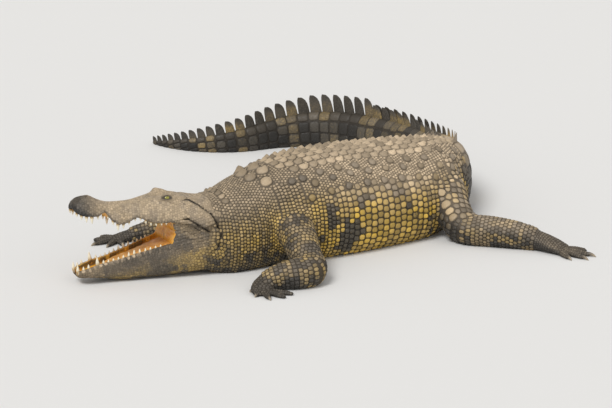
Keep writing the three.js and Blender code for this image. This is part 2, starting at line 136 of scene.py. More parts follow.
# Limbs as joints of [back along the body, out from the spine, height, half width, half thickness].
LEGS = [
    {
        "name": "foreleg_left", "side": 1, "root": SHOULDER, "size": 1,
        "upper": [[-4, 120, 150, 74, 66], [-30, 200, 132, 68, 62], [-66, 290, 96, 60, 56],
                  [-92, 368, 56, 53, 52]],
        "lower": [[-80, 348, 57, 53, 53], [-106, 384, 52, 56, 56], [-164, 374, 49, 54, 54],
                  [-220, 346, 41, 46, 44], [-258, 324, 30, 37, 30]],
        "palm": [[-238, 324, 31, 34, 29], [-272, 334, 24, 38, 21], [-296, 358, 16, 41, 15],
                 [-306, 374, 10, 38, 10]],
        "toes": [[-322, 330], [-338, 378], [-318, 428], [-268, 452], [-226, 440]],
    },
    {
        "name": "foreleg_right", "side": -1, "root": SHOULDER, "size": 1,
        "upper": [[-30, 110, 150, 70, 62], [-60, 190, 120, 60, 54], [-106, 270, 84, 57, 53],
                  [-150, 322, 58, 52, 50]],
        "lower": [[-132, 306, 58, 52, 50], [-168, 340, 48, 53, 50], [-226, 372, 43, 48, 46],
                  [-282, 402, 32, 38, 33], [-322, 420, 24, 32, 24]],
        "palm": [[-304, 412, 25, 29, 22], [-340, 428, 19, 36, 17], [-368, 440, 13, 40, 12],
                 [-384, 446, 9, 37, 9]],
        "toes": [[-392, 382], [-438, 404], [-466, 448], [-444, 492], [-402, 510]],
    },
    {
        "name": "hindleg_left", "side": 1, "root": HIP, "size": 1.15,
        "upper": [[0, 60, 175, 100, 86], [-12, 140, 146, 90, 80], [-42, 222, 100, 70, 66],
                  [-70, 298, 60, 60, 56]],
        "lower": [[-58, 276, 58, 60, 57], [-58, 320, 52, 61, 57], [-10, 396, 50, 59, 56],
                  [34, 474, 45, 53, 51], [68, 532, 37, 43, 41]],
        "palm": [[54, 508, 40, 41, 39], [76, 556, 33, 44, 32], [92, 606, 24, 47, 23],
                 [104, 642, 14, 47, 14]],
        "toes": [[62, 706], [102, 740], [144, 734], [172, 690]],
    },
    {
        "name": "hindleg_right", "side": -1, "root": HIP, "size": 1.15,
        "upper": [[0, 60, 175, 100, 86], [0, 130, 146, 90, 80], [-10, 200, 100, 70, 66],
                  [-20, 268, 60, 60, 56]],
        "lower": [[-8, 246, 58, 60, 57], [0, 284, 52, 61, 57], [50, 330, 48, 58, 54],
                  [104, 366, 43, 50, 48], [146, 392, 35, 41, 38]],
        "palm": [[130, 376, 38, 39, 36], [142, 420, 33, 43, 31], [124, 470, 24, 47, 22],
                 [110, 512, 14, 47, 13]],
        "toes": [[36, 578], [66, 624], [112, 638], [152, 604]],
    },
]

# The crest: two rows of scutes down the front half of the tail, then a single row of fins.
CREST_START = 1140
CREST_JOIN = 1950
CREST_PITCH = [56, 25]  # length of a whorl at the crest's start and at the tip

COAT = 3  # how far the body's skin lies inside the solids, under its scales
VOXEL = 6.5  # size of the cells of the field's grid
OUTSIDE = 60.0  # the field where it isn't worked out, well outside the flesh
BODY, LEG, FOOT, HEAD = range(4)  # the regions of the hide


# ---- Small helpers ----
def mix(a, b, t):
    return a + (b - a) * t


def step(edge0, edge1, x):
    """A smooth step from 0 to 1."""
    t = np.clip((x - edge0) / (edge1 - edge0), 0, 1)
    return t * t * (3 - 2 * t)


def bell(x, width):
    return np.exp(-((x / width) ** 2))


def smooth_min(a, b, width):
    h = np.maximum(width - np.abs(a - b), 0) / width
    return np.minimum(a, b) - h * h * width / 4


def smooth_max(a, b, width):
    return -smooth_min(-a, -b, width)


def row_at(table, station):
    """The rows of a table at the stations, by cubic interpolation, one array per column."""
    at = np.asarray(station, float)
    i = np.clip(np.searchsorted(table[:, 0], at, side="right") - 1, 0, len(table) - 2)
    before, row, to = table[np.maximum(i - 1, 0)], table[i], table[i + 1]
    after = table[np.minimum(i + 2, len(table) - 1)]
    span = to[..., 0] - row[..., 0]
    t = np.clip((at - row[..., 0]) / span, 0, 1)
    t2, t3 = t * t, t * t * t
    columns = []
    for c in range(1, table.shape[1]):
        slope_in = (to[..., c] - before[..., c]) / (to[..., 0] - before[..., 0]) * span
        slope_out = (after[..., c] - row[..., c]) / (after[..., 0] - row[..., 0]) * span
        columns.append(
            (2 * t3 - 3 * t2 + 1) * row[..., c] + (t3 - 2 * t2 + t) * slope_in
            + (3 * t2 - 2 * t3) * to[..., c] + (t3 - t2) * slope_out
        )
    return columns


def numbers_at(table, station):
    """The row of a table at one station, as plain numbers."""
    return [float(value) for value in row_at(table, station)]


def run_along(*columns):
    """The distance covered from the first of a line's points to each of them."""
    return np.append(0, np.cumsum(np.sqrt(sum(np.diff(column) ** 2 for column in columns))))


def circle(count):
    """Angles spread evenly round a circle."""
    return 2 * pi * np.arange(count) / count


def even(start, end, pitch):
    """Numbers evenly spread from start to end, about a pitch apart."""
    return np.linspace(start, end, max(int(round((end - start) / pitch)), 1) + 1)


def graded(start, end, pitch):
    """Stations whose spacing follows a function of the station, to the first past the end."""
    found = [start]
    while found[-1] < end:
        found.append(found[-1] + float(pitch(found[-1])))
    return found


def within(shape, p):
    """Which points lie in the box round a shape of flesh."""
    return np.flatnonzero(np.all((p > shape.low) & (p < shape.high), axis=1))


def batches(count, size=40000):
    """Slices that take a count of points part by part, so that no array grows too large."""
    return [slice(n, n + size) for n in range(0, count, size)]


def noise(p, size, seed=0):
    """Smooth noise from -1 to 1 with lumps about `size` across, at points of shape (..., 3)."""
    q = p / size + seed * 17.3
    i = np.floor(q).astype(np.int64)
    f = q - i
    f = f * f * (3 - 2 * f)
    total = 0
    for corner in np.ndindex(2, 2, 2):
        c = i + corner
        key = (c[..., 0] * 73856093) ^ (c[..., 1] * 19349663) ^ (c[..., 2] * 83492791)
        key = (key ^ (key >> 13)) * 1274126177
        value = ((key >> 8) & 0xFFFF) / 32767.5 - 1
        weight = np.prod(np.where(corner, f, 1 - f), axis=-1)
        total = total + value * weight
    return total


# ---- The spine ----
def spine_table(spacing):
    """Stations along the spine with x, y, heading and curvature, from ahead of the jaw joint."""
    stations = np.arange(-60, TAIL_TIP + spacing, spacing)
    table = np.zeros((len(stations), 5))
    for n, station in enumerate(stations):
        x, y, heading, left, curve = 0.0, 0.0, HEAD_YAW, station, 0.0
        for length, turn in SPINE:
            run = left if left < 0 else min(left, length)
            curve = 0.0 if left < 0 else radians(turn) / length
            bend = curve * run
            chord = 2 * sin(bend / 2) / curve if bend else run
            x += chord * cos(heading + bend / 2)
            y += chord * sin(heading + bend / 2)
            heading += bend
            left -= run
            if left <= 0:
                break
        table[n] = station, x, y, heading, curve
    return table


def jaw_joint():
    """The jaw joint's place in plan, found from the left eye's box in the frame."""
    low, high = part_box("eye_left")
    eye = (np.array(low) + np.array(high)) / 2 / MM
    aside = EYE["out"] * cos(HEAD_ROLL) - EYE["up"] * sin(HEAD_ROLL)
    above = EYE["out"] * sin(HEAD_ROLL) + EYE["up"] * cos(HEAD_ROLL)
    back = above * sin(UPPER_PITCH) - EYE["along"] * cos(UPPER_PITCH)
    c, s = cos(HEAD_YAW), sin(HEAD_YAW)
    return eye[0] - back * c - aside * s, eye[1] - back * s + aside * c


JAW = jaw_joint()
SPINE_ROWS = spine_table(4.0)
SPINE_ROWS[:, 1:3] += JAW


def spine_at(station):
    return [np.interp(station, SPINE_ROWS[:, 0], SPINE_ROWS[:, c]) for c in (1, 2, 3)]


def beside(station, side, back, out, z):
    """Points beside the spine, `out` to the left (+1) or right (-1) and `back` along it."""
    x, y, heading = spine_at(station)
    c, s = np.cos(heading), np.sin(heading)
    parts = x + back * c + side * out * s, y + back * s - side * out * c, z
    return np.stack(np.broadcast_arrays(*parts), axis=-1).astype(float)


def spine_coords(x, y):
    """Station along the spine and distance out to the left, at plan points."""
    shape = np.shape(x)
    x, y = np.ravel(x), np.ravel(y)
    station, out = np.empty(len(x)), np.empty(len(x))
    rows = SPINE_ROWS[::2]
    for part in batches(len(x)):
        gap = (x[part, None] - rows[:, 1]) ** 2 + (y[part, None] - rows[:, 2]) ** 2
        near = rows[gap.argmin(axis=1)]
        dx, dy = x[part] - near[:, 1], y[part] - near[:, 2]
        c, s = np.cos(near[:, 3]), np.sin(near[:, 3])
        out[part] = dx * s - dy * c
        station[part] = near[:, 0] + (dx * c + dy * s) / np.maximum(1 + near[:, 4] * out[part], 0.2)
    return station.reshape(shape), out.reshape(shape)


def near_head(station, out):
    """Which places, by station and distance out, may be the head's."""
    return (station < 90) & (np.abs(out) < 190)


# ---- Flesh as a field: below 0 inside, in about millimetres ----
def skin_folds(station, z):
    """Swelling of the sides where the skin is creased: on the neck, and before and behind the legs."""
    wave = station + 9 * np.sin(z / 31) + 5 * np.sin(z / 11 + 2)
    neck = 2.2 * np.sin(wave * 2 * pi / 24) * step(20, 50, station) * step(215, 170, station)
    armpit = 3.5 * np.sin(wave * 2 * pi / 34) * bell(station - 395, 55) * step(200, 130, z)
    groin = 3.5 * np.sin(wave * 2 * pi / 38) * bell(station - 850, 60) * step(190, 130, z)
    return neck + armpit + groin


def body_field(station, out, z):
    half, top, axis, low = row_at(GIRTH, station)
    half, top = half - COAT, top - COAT
    half = half + skin_folds(station, z)
    upper = z > axis
    reach = np.where(upper, top - axis, axis - low)
    across = np.abs(out) / half
    rise = np.abs(z - axis) / reach
    side_term = across ** np.where(upper, 2.22, 3.33)
    rise_term = rise ** np.where(upper, 2.22, 2.5)
    total = side_term + rise_term + 1e-9
    share = np.where(upper, 0.45, mix(0.4, 0.3, side_term / total))
    scale = total ** share
    length = np.hypot(out, z - axis) + 1
    field = length * (1 - 1 / np.maximum(scale, 0.05))
    return np.maximum(field, np.maximum(-58 - station, station - TAIL_TIP))


def head_coords(p, pitch):
    """Distance ahead of the jaw joint, out to the left and up from the jaw line."""
    dx, dy = p[..., 0] - JAW[0], p[..., 1] - JAW[1]
    c, s = cos(HEAD_YAW), sin(HEAD_YAW)
    forward, aside = -(dx * c + dy * s), dx * s - dy * c
    high = p[..., 2] - JAW_HEIGHT
    c, s = cos(pitch), sin(pitch)
    along, above = forward * c + high * s, high * c - forward * s
    c, s = cos(HEAD_ROLL), sin(HEAD_ROLL)
    return along, aside * c + above * s, above * c - aside * s


def jaw_point(along, out, up, pitch):
    """The point in the frame for a place on a jaw."""
    c, s = cos(HEAD_ROLL), sin(HEAD_ROLL)
    aside, above = out * c - up * s, out * s + up * c
    c, s = cos(pitch), sin(pitch)
    return beside(0.0, 1, above * s - along * c, aside, JAW_HEIGHT + along * s + above * c)


def tooth_swell(along, teeth):
    """Swellings of the jaw's edge over the roots of its teeth."""
    return sum(length / 14 * bell(along - at, 7) for at, length in teeth)


def crown_relief(along, a):
    """How far the top of the upper head stands above its table's height."""
    brows = 5 * bell(along - 160, 26) * bell(a - 46, 15)
    between = -13 * bell(along - 166, 40) * bell(a, 24)
    dished = -4 * bell(along - 62, 40) * bell(a, 34)
    rim = 3 * bell(a - 53, 7) * step(0, 25, along) * step(130, 105, along)
    ridge_out = mix(40, 20, np.clip((along - 195) / 75, 0, 1))
    ridges = 4 * bell(a - ridge_out, 7) * step(180, 200, along) * step(290, 250, along)
    boss = 4 * bell(along - 335, 42) * bell(a, 15)
    nose = 3 * bell(along - 442, 17) * bell(a, 22)
    return brows + between + dished + rim + ridges + boss + nose


def upper_field(along, out, up):
    half, margin, top, flat = row_at(SKULL, along)
    a = np.abs(out)
    swell = tooth_swell(along, UPPER_TEETH)
    lip = bell(up - margin - 6, 12)
    share = np.clip((up - margin) / (top - margin), 0, 1)
    narrowing = row_at(SKULL_SIDE, share)[0]
    width = mix(half, flat, narrowing) + swell * lip
    wall = (a - width) * 0.85
    roof = up - top - crown_relief(along, a)
    palate = margin + 11 * (1 - np.clip(a / half, 0, 1) ** 2) - swell * 0.6 * step(20, 6, half - a) - up
    field = smooth_max(smooth_max(wall, roof, 14), palate, 7)
    nose = 502 - (a / 20) ** 2 - ((up - 36) / 16) ** 2
    field = smooth_max(field, along - nose, 10)
    return smooth_max(field, -60 - along, 20)


def lower_field(along, out, up):
    half, rim, low = row_at(MANDIBLE, along)
    a = np.abs(out)
    swell = tooth_swell(along, LOWER_TEETH)
    share = np.clip((rim - up) / (rim - low), 0, 1)
    width = half * row_at(MANDIBLE_SIDE, share)[0]
    wall = (a - width - swell * bell(up - rim + 6, 11)) * 0.9
    field = smooth_max(smooth_max(wall, up - rim - swell * 0.8, 6), low - up, 26)
    inner = half * 0.95 - 13
    trough = smooth_max(a - inner, rim - 21 - up, 8)
    field = smooth_max(field, -trough, 5)
    field = smooth_max(field, along - 497 + (a / 14) ** 2, 9)
    return smooth_max(field, -60 - along, 20)


def cheek_field(along, out, up):
    """The flesh that closes the corner of the mouth."""
    high = along * tan(UPPER_PITCH) + row_at(SKULL, along)[1] + 14
    low = along * tan(LOWER_PITCH) - 26
    middle = (high + low) / 2
    side = row_at(MANDIBLE, along)[0] * 0.93 - 4 * bell(up - middle, 14)
    front = along - MOUTH_CORNER + 10 * bell(up - middle, 16)
    field = smooth_max(np.abs(out) - side, front, 6)
    field = smooth_max(field, np.maximum(up - high, low - up), 4)
    return np.maximum(field, -20 - along)


# The way the left eye looks, in the head's frame: ahead, out and up.
GAZE = np.array([0.3, 0.85, 0.42])
GAZE /= np.linalg.norm(GAZE)
LID_AHEAD = np.cross([0, -GAZE[2], GAZE[1]], GAZE)
LID_AHEAD /= np.linalg.norm(LID_AHEAD)
LID_UP = np.cross(LID_AHEAD, GAZE)
LID_UP *= np.sign(LID_UP[2])
LID_AHEAD *= np.sign(LID_AHEAD[0])
LID_SIZE = [11.8, 5.4]  # half length and half height of the opening between the lids


def eye_coords(along, out, up):
    """Distance from the eye's middle, and how far ahead of it, above it and along its gaze."""
    q = np.stack([along - EYE["along"], np.abs(out) - EYE["out"], up - EYE["up"]], axis=-1)
    return np.linalg.norm(q, axis=-1), q @ LID_AHEAD, q @ LID_UP, q @ GAZE


def with_eyes(field, along, out, up):
    """Lids round each eye, with a shallow pit that the eyeball fills."""
    distance, ahead, above, deep = eye_coords(along, out, up)
    opening = np.hypot(ahead / LID_SIZE[0], (above + ahead ** 2 / 60) / LID_SIZE[1])
    lids = distance - EYE["radius"] - 3.2
    field = smooth_min(field, lids, 7)
    near = step(60, 36, distance) * step(-6, 4, deep)
    rim = 1.6 * bell(opening - 1.25, 0.28) - 1.8 * bell(opening - 2.0, 0.3) + bell(opening - 2.6, 0.35)
    field = field - rim * near
    pit = np.maximum((opening - 1) * LID_SIZE[1], EYE["radius"] - 1.5 - distance)
    pit = np.maximum(pit, -deep)
    return smooth_max(field, -pit, 1.2)


def head_field(p):
    along, out, up = head_coords(p, UPPER_PITCH)
    field = with_eyes(upper_field(along, out, up), along, out, up)
    ahead, aside = along - NOSTRIL["along"], np.abs(out) - NOSTRIL["out"]
    nostril = np.hypot((ahead - aside * 0.6) / 1.9, aside - ahead * 0.15) - 3.4
    field = smooth_max(field, -np.maximum(nostril, 58 - up), 3)
    jaw = lower_field(*head_coords(p, LOWER_PITCH))
    field = smooth_min(field, jaw, 3)
    return smooth_min(field, cheek_field(*head_coords(p, 0)), 9)


# Creases on the sides of the head: [points ahead of the jaw joint and up from it, half width, depth].
CREASES = [
    ([(104, 108), (67, 107), (31, 82), (-3, 52), (-18, 15), (-30, -20), (-20, -60), (4, -88)], 3.4, 7.0),
    ([(153, 75), (131, 56)], 2.4, 3.0),
    ([(127, 46), (90, 49), (49, 20), (13, -6), (-14, -16)], 3.0, 7.0),
    ([(119, 34), (84, 30), (50, 4), (20, -20)], 2.4, 2.6),
    ([(180, 117), (160, 112), (138, 106), (108, 92)], 2.2, 2.6),
    ([(374, 110), (368, 82)], 2.4, 4.5),
    ([(130, 8), (86, -2), (44, -26), (8, -40)], 2.4, 2.2),
    ([(128, -16), (84, -26), (40, -46)], 2.4, 2.0),
]


def creased(along, out, up):
    """How deep the head's creases are, and how much painted shade darkens them from 0 to 1, at places from
    the level jaw line.
    """
    depth, shade = np.zeros(np.shape(along)), np.zeros(np.shape(along))
    side = step(30, 46, np.abs(out))
    spot = np.stack([along, np.abs(out), up], axis=-1)
    wander = 1.3 * noise(spot, 17, 41)
    ragged = 0.8 + 0.45 * noise(spot, 12, 42)
    for line, width, deep in CREASES:
        gap = np.full(np.shape(along), 1e3)
        for (a0, u0), (a1, u1) in zip(line, line[1:]):
            da, du = a1 - a0, u1 - u0
            t = np.clip(((along - a0) * da + (up - u0) * du) / (da * da + du * du), 0, 1)
            gap = np.minimum(gap, np.hypot(along - a0 - t * da + wander, up - u0 - t * du + wander))
        ends = np.minimum(*[np.hypot(along - a, up - u) for a, u in (line[0], line[-1])])
        fade = step(-6, 42, ends) * side
        narrow = width * (0.45 + 0.55 * fade) * ragged
        depth += fade * deep * (bell(gap, narrow) - 0.35 * bell(gap - 3.2 * width, 2 * width))
        # painted shade: darkest along the middle of each crease
        shade = np.maximum(shade, fade * min(1, deep / 6.5) * bell(gap, narrow * 0.95))
    return depth, shade


def wrinkled(p):
    """Fine relief of the head's skin: ridges over the teeth, and wrinkles across the cheeks."""
    along, out, up = head_coords(p, UPPER_PITCH)
    margin = row_at(SKULL, along)[1]
    ridges = 0.9 * np.sin(along * 2 * pi / 10.5 + 1.5 * noise(p, 40, 21))
    relief = ridges * step(22, 6, up - margin) * step(-8, 0, up - margin) * step(60, 150, along)
    along, out, up = head_coords(p, LOWER_PITCH)
    depth = row_at(MANDIBLE, along)[1] - up
    relief += 1.3 * ridges * step(34, 12, depth) * step(-4, 4, depth) * step(120, 180, along)
    along, out, up = head_coords(p, 0)
    cheek = step(-30, 0, along) * step(142, 124, along) * step(70, 40, up) * step(-100, -60, up)
    lines = np.sin(2 * pi * (up + 0.12 * along + 3.0 * noise(p, 34, 22)) / 10.5)
    return (relief + 1.3 * cheek * lines) * step(40, 60, np.abs(out))


class Limb:
    """A limb of flesh along joints of [x, y, z, half width, half thickness]."""

    def __init__(self, joints, blend, per_joint=7):
        joints = np.array(joints, float)
        keys = np.column_stack([np.arange(len(joints)), joints])
        at = np.linspace(0, len(joints) - 1, (len(joints) - 1) * per_joint + 1)
        columns = row_at(keys, at)
        self.centers = np.stack(columns[:3], axis=-1)
        self.across, self.thick = columns[3], columns[4]
        self.run = run_along(*columns[:3])
        forward = np.gradient(self.centers, axis=0)
        self.forward = forward / np.linalg.norm(forward, axis=1)[:, None]
        flat = np.hypot(self.forward[:, 0], self.forward[:, 1])[:, None]
        self.aside = np.column_stack([self.forward[:, 1], -self.forward[:, 0], 0 * flat[:, 0]]) / flat
        self.over = np.cross(self.aside, self.forward)
        self.over *= np.sign(self.over[:, 2:3])
        self.blend = blend
        reach = self.across.max() + 2 * blend + 4
        self.low, self.high = self.centers.min(axis=0) - reach, self.centers.max(axis=0) + reach

    def at(self, run):
        """Centre, direction aside, direction over, half width and half thickness at a distance along."""
        columns = [*self.centers.T, *self.aside.T, *self.over.T, self.across, self.thick]
        values = np.array([np.interp(run, self.run, column) for column in columns])
        return values[:3], values[3:6], values[6:9], values[9], values[10]

    def ring(self, n):
        """One of the limb's centres, with its half axes aside and over."""
        return self.centers[n], self.aside[n] * self.across[n], self.over[n] * self.thick[n]

    def coords(self, p):
        """The nearest centre, and the place round it: aside, over and ahead."""
        near = np.empty(len(p), int)
        for part in batches(len(p)):
            near[part] = ((p[part, None] - self.centers) ** 2).sum(axis=-1).argmin(axis=1)
        q = p - self.centers[near]
        return near, [(q * axes[near]).sum(axis=-1) for axes in (self.aside, self.over, self.forward)]

    def field(self, p):
        near, (a, b, ahead) = self.coords(p)
        scale = np.hypot(a / self.across[near], b / self.thick[near])
        around = np.hypot(a, b) + 0.5
        field = around * (1 - 1 / np.maximum(scale, 0.05))
        past = np.where(near == 0, -ahead, np.where(near == len(self.centers) - 1, ahead, 0))
        ends = np.maximum(past, 0)
        return np.where(ends > 0, np.hypot(np.maximum(field, 0), ends) + np.minimum(field, 0), field)


def oval(center, aside, over, angles):
    """Points on the oval round a centre that two half axes make."""
    angles = np.asarray(angles)[:, None]
    return center + aside * np.cos(angles) + over * np.sin(angles)


def placed(leg, joints, shrink=0):
    rows = []
    for back, out, z, across, thick in joints:
        x, y, _ = beside(leg["root"], leg["side"], back, out, z)
        rows.append([x, y, z, across - shrink, thick - shrink])
    return rows


# Toes and claws: [share of the toe's length, height, half width, half thickness].
TOE_SHAPE = [
    [0, 9, 12, 11], [0.33, 8.5, 10.5, 9.5], [0.6, 7.5, 11, 9.5], [0.8, 6.5, 9, 8], [0.98, 5.5, 7, 6.4],
]
CLAW_SHAPE = [
    [0.84, 6.6, 5.4, 5.8], [0.96, 8.4, 5.6, 6.0], [1.08, 7.6, 4.4, 5.0], [1.18, 4.6, 2.6, 3.0],
    [1.25, 1.4, 0.5, 0.6],
]


def toe_joints(leg, tip, shape):
    """Joints along the line of a toe, which starts a quarter of the way from the palm to its tip."""
    back, out = [mix(a, b, 0.25) for a, b in zip(leg["palm"][-2], tip)]
    return placed(leg, [[mix(back, tip[0], t), mix(out, tip[1], t), *np.array(rest) * leg["size"]]
                        for t, *rest in shape])


WEB_REACH = 0.66  # share of the toes' length that the web between them reaches


class Web:
    """Skin between two toes, out to a hollow edge."""

    def __init__(self, leg, tip_a, tip_b):
        palm = leg["palm"][-2]
        edges = [[mix(a, b, WEB_REACH) for a, b in zip(palm, tip)] for tip in (tip_a, tip_b)]
        corners = [palm[:2], *edges]
        self.plan = [beside(leg["root"], leg["side"], b, o, 0.0)[:2] for b, o in corners]
        spots = np.array(self.plan)
        self.low = np.append(spots.min(axis=0) - 20, -20)
        self.high = np.append(spots.max(axis=0) + 20, 30)
        self.blend = 6

    def field(self, p):
        a, b, c = self.plan
        middle = (a + b + c) / 3
        inside = np.full(len(p), -1e3)
        for start, end in ((a, b), (b, c), (c, a)):
            edge = end - start
            normal = np.array([edge[1], -edge[0]]) / np.hypot(*edge)
            normal *= -np.sign((middle - start) @ normal)
            inside = np.maximum(inside, (p[:, :2] - start) @ normal)
        hollow = 0.32 * np.hypot(*(c - b)) - np.hypot(*(p[:, :2] - (b + c) / 2).T)
        return np.maximum(smooth_max(inside, hollow, 4), np.abs(p[:, 2] - 3.5) - 3.2)


FOLD_BLEND = 24  # the blend of a hind leg with the trunk: only upper limbs blend as widely


def leg_flesh(leg):
    """The limbs of one leg, from the top down to its toes, and the webs between those."""
    toes, thick_blend = leg["toes"], 30 if leg["root"] == SHOULDER else FOLD_BLEND
    parts = [
        Limb(placed(leg, leg["upper"], 2), thick_blend),
        Limb(placed(leg, leg["lower"], 2), 16),
        Limb(placed(leg, leg["palm"], 1), 14),
    ]
    parts += [Limb(toe_joints(leg, tip, TOE_SHAPE), 5, 4) for tip in toes]
    return parts, [Web(leg, tip_a, tip_b) for tip_a, tip_b in zip(toes, toes[1:])]


LEG_FLESH = [leg_flesh(leg) for leg in LEGS]
LIMBS = [limb for parts, webs in LEG_FLESH for limb in parts + webs]
FLOOR_LEVEL = 1.5  # the flesh goes no lower, and lies flat there


def flesh(p, station=None, out=None):
    """The whole animal's field at points of shape (n, 3)."""
    if station is None:
        station, out = spine_coords(p[:, 0], p[:, 1])
    field = body_field(station, out, p[:, 2])
    for limb in LIMBS:
        near = within(limb, p)
        if len(near):
            field[near] = smooth_min(field[near], limb.field(p[near]), limb.blend)
    near = np.flatnonzero(near_head(station, out))
    if len(near):
        head = smooth_min(field[near], head_field(p[near]), 22)
        depth = creased(*head_coords(p[near], 0))[0]
        field[near] = head + depth - wrinkled(p[near])
    return smooth_max(field, FLOOR_LEVEL - p[:, 2], 3)


# ---- The skin ----
def flesh_grid():
    """The field on a grid over the whole animal: its values and its lowest corner."""
    low, high = [np.array(corner) / MM for corner in cad_box]
    low, high = low - 5 * VOXEL, high + 5 * VOXEL
    low[2] = -4 * VOXEL
    counts = np.ceil((high - low) / VOXEL).astype(int)
    xs, ys, zs = [low[n] + VOXEL * np.arange(counts[n]) for n in range(3)]
    grid = np.full(counts, OUTSIDE, np.float32)
    x, y = np.meshgrid(xs, ys, indexing="ij")
    station, out = spine_coords(x, y)
    half = row_at(GIRTH, station)[0]
    wanted = np.abs(out) < half + 50
    for limb in LIMBS:
        wanted |= (x > limb.low[0]) & (x < limb.high[0]) & (y > limb.low[1]) & (y < limb.high[1])
    wanted |= near_head(station, out) & (station > -SNOUT_AHEAD)
    columns = np.argwhere(wanted)
    for part in batches(len(columns), 12000):
        i, j = columns[part].T
        p = np.stack(np.broadcast_arrays(xs[i][:, None], ys[j][:, None], zs[None]), axis=-1)
        s, o = [np.repeat(v[i, j], len(zs)) for v in (station, out)]
        grid[i, j] = flesh(p.reshape(-1, 3), s, o).reshape(len(i), -1)
    return grid, low


class Field:
    """The field between grid points, with the way out of it."""

    def __init__(self, grid, low):
        self.grid, self.low = grid, low

    def sample(self, p):
        q = np.clip((p - self.low) / VOXEL, 0, np.array(self.grid.shape) - 1.001)
        i = q.astype(int)
        f = q - i
        total = np.zeros(len(p))
        for corner in np.ndindex(2, 2, 2):
            weight = np.prod(np.where(corner, f, 1 - f), axis=-1)
            total += weight * self.grid[tuple((i + corner).T)]
        return total

    def normal(self, p, reach=4.0):
        slopes = []
        for axis in np.eye(3) * reach:
            slopes.append(self.sample(p + axis) - self.sample(p - axis))
        slope = np.stack(slopes, axis=-1) / (2 * reach)
        size = np.linalg.norm(slope, axis=-1, keepdims=True) + 1e-9
        return slope / size, size[:, 0]

    def project(self, p, rounds=3):
        """The nearest points of the skin, and the skin's normals there."""
        for _ in range(rounds):
            normal, size = self.normal(p)
            p = p - normal * np.clip(self.sample(p) / np.maximum(size, 0.3), -12, 12)[:, None]
        return p, self.normal(p)[0]


def linked(name, data):
    """A new object in the scene, made of the data."""
    thing = bpy.data.objects.new(name, data)
    bpy.context.collection.objects.link(thing)
    return thing


def mesh_object(name, points, faces):
    """A smooth object from points in millimetres and faces with any count of sides."""
    mesh = bpy.data.meshes.new(name)
    mesh.from_pydata((np.asarray(points) * MM).tolist(), [], [tuple(f) for f in faces])
    mesh.update()
    mesh.polygons.foreach_set("use_smooth", [True] * len(mesh.polygons))
    return linked(name, mesh)


def refined(points, quads, wanted):
    """Splits the wanted faces' edges in two, leaving the faces beside them joined to them."""
    work = bmesh.new()
    mesh = bpy.data.meshes.new("work")
    mesh.from_pydata(points.tolist(), [], quads)
    work.from_mesh(mesh)
    work.faces.ensure_lookup_table()
    chosen = [work.faces[n] for n in np.flatnonzero(wanted)]
    edges = list({edge for face in chosen for edge in face.edges})
    bmesh.ops.subdivide_edges(work, edges=edges, cuts=1, use_grid_fill=True)
    work.verts.index_update()
    spots = np.array([v.co[:] for v in work.verts])
    faces = [[v.index for v in face.verts] for face in work.faces]
    work.free()
    bpy.data.meshes.remove(mesh)
    return spots, faces


def fine_region(p):
    """Where the skin needs smaller faces: 1 over head and toes, 2 at eyes, nostrils, rims and creases."""
    along, out, up = head_coords(p, UPPER_PITCH)
    a = np.abs(out)
    level = (along > -60) & (a < 160) & (along < 520)
    nose = np.hypot(along - NOSTRIL["along"], a - NOSTRIL["out"])
    finest = (eye_coords(along, out, up)[0] < 36) | ((nose < 24) & (up > 40))
    finest |= level & (creased(*head_coords(p, 0))[1] > 0.12)
    half, margin = row_at(SKULL, along)[:2]
    finest |= level & (np.abs(up - margin - 4) < 12) & (a > half - 22)
    along, out, up = head_coords(p, LOWER_PITCH)
    half, rim = row_at(MANDIBLE, along)[:2]
    finest |= level & (np.abs(up - rim + 4) < 12) & (np.abs(out) > half - 30)
    for leg in LEGS:
        knuckle = leg["palm"][-2]
        for toe in leg["toes"]:
            middle = beside(leg["root"], leg["side"], *[(a + b) / 2 for a, b in zip(toe, knuckle)], 0.0)
            reach = 0.6 * np.hypot(toe[0] - knuckle[0], toe[1] - knuckle[1]) + 12
            level |= np.hypot(*(p[:, :2] - middle[:2]).T) < reach
    return level.astype(int) + finest


class Surface:
    """The finished skin, for finding the nearest place on it."""

    def __init__(self, points, faces, field):
        self.tree, self.field = BVHTree.FromPolygons(points.tolist(), faces), field

    def project(self, p):
        """The nearest places on the skin, and the flesh's normals there."""
        near = np.array([self.tree.find_nearest(spot)[0] for spot in p.tolist()])
        return near, self.field.normal(near)[0]


def settle(points, rounds=3, reach=0.8):
    """Moves points onto the flesh's surface along its slope."""
    p = points.copy()
    for _ in range(rounds):
        value = flesh(p)
        slope = np.stack([flesh(p + axis) - value for axis in np.eye(3) * reach], axis=-1) / reach
        size = (slope ** 2).sum(axis=-1)
        p -= slope * np.clip(value / np.maximum(size, 0.2), -3, 3)[:, None]
    return p


def build_skin(field):
    vdb = openvdb.FloatGrid(OUTSIDE)
    vdb.copyFromArray(field.grid)
    points, quads = vdb.convertToQuads(0.0)
    points = points * VOXEL + field.low
    faces = quads[:, ::-1].tolist()
    for level in (1, 2):
        centers = np.array([points[face].mean(axis=0) for face in faces])
        points, faces = refined(points, faces, fine_region(centers) >= level)
    fine = np.flatnonzero(fine_region(points) >= 1)
    points[fine] = settle(points[fine])
    return points, faces


# ---- Markings, the same on skin and coat ----
def whorl_pitch(station):
    """Length along the tail of the whorl at a station."""
    return mix(*CREST_PITCH, ((station - CREST_START) / (TAIL_TIP - CREST_START)) ** 3)


# Stations of the tail's whorls, where its crest stands.
WHORLS = np.array(graded(CREST_START, TAIL_TIP - 30, whorl_pitch)[:-1])


def whorl_bands(station, height, right):
    """How dark the tail is, from 0 to 1, whorl by whorl, with the lower half out of step."""
    edges = (WHORLS[1:] + WHORLS[:-1]) / 2
    number = np.searchsorted(edges, station).astype(float)
    phase = number * 1.55 + 0.9 * np.sin(number * 0.9) + np.where(height > 0.52, 0, 0.6) + right * 0.9
    return step(-0.35, 0.25, np.sin(phase))


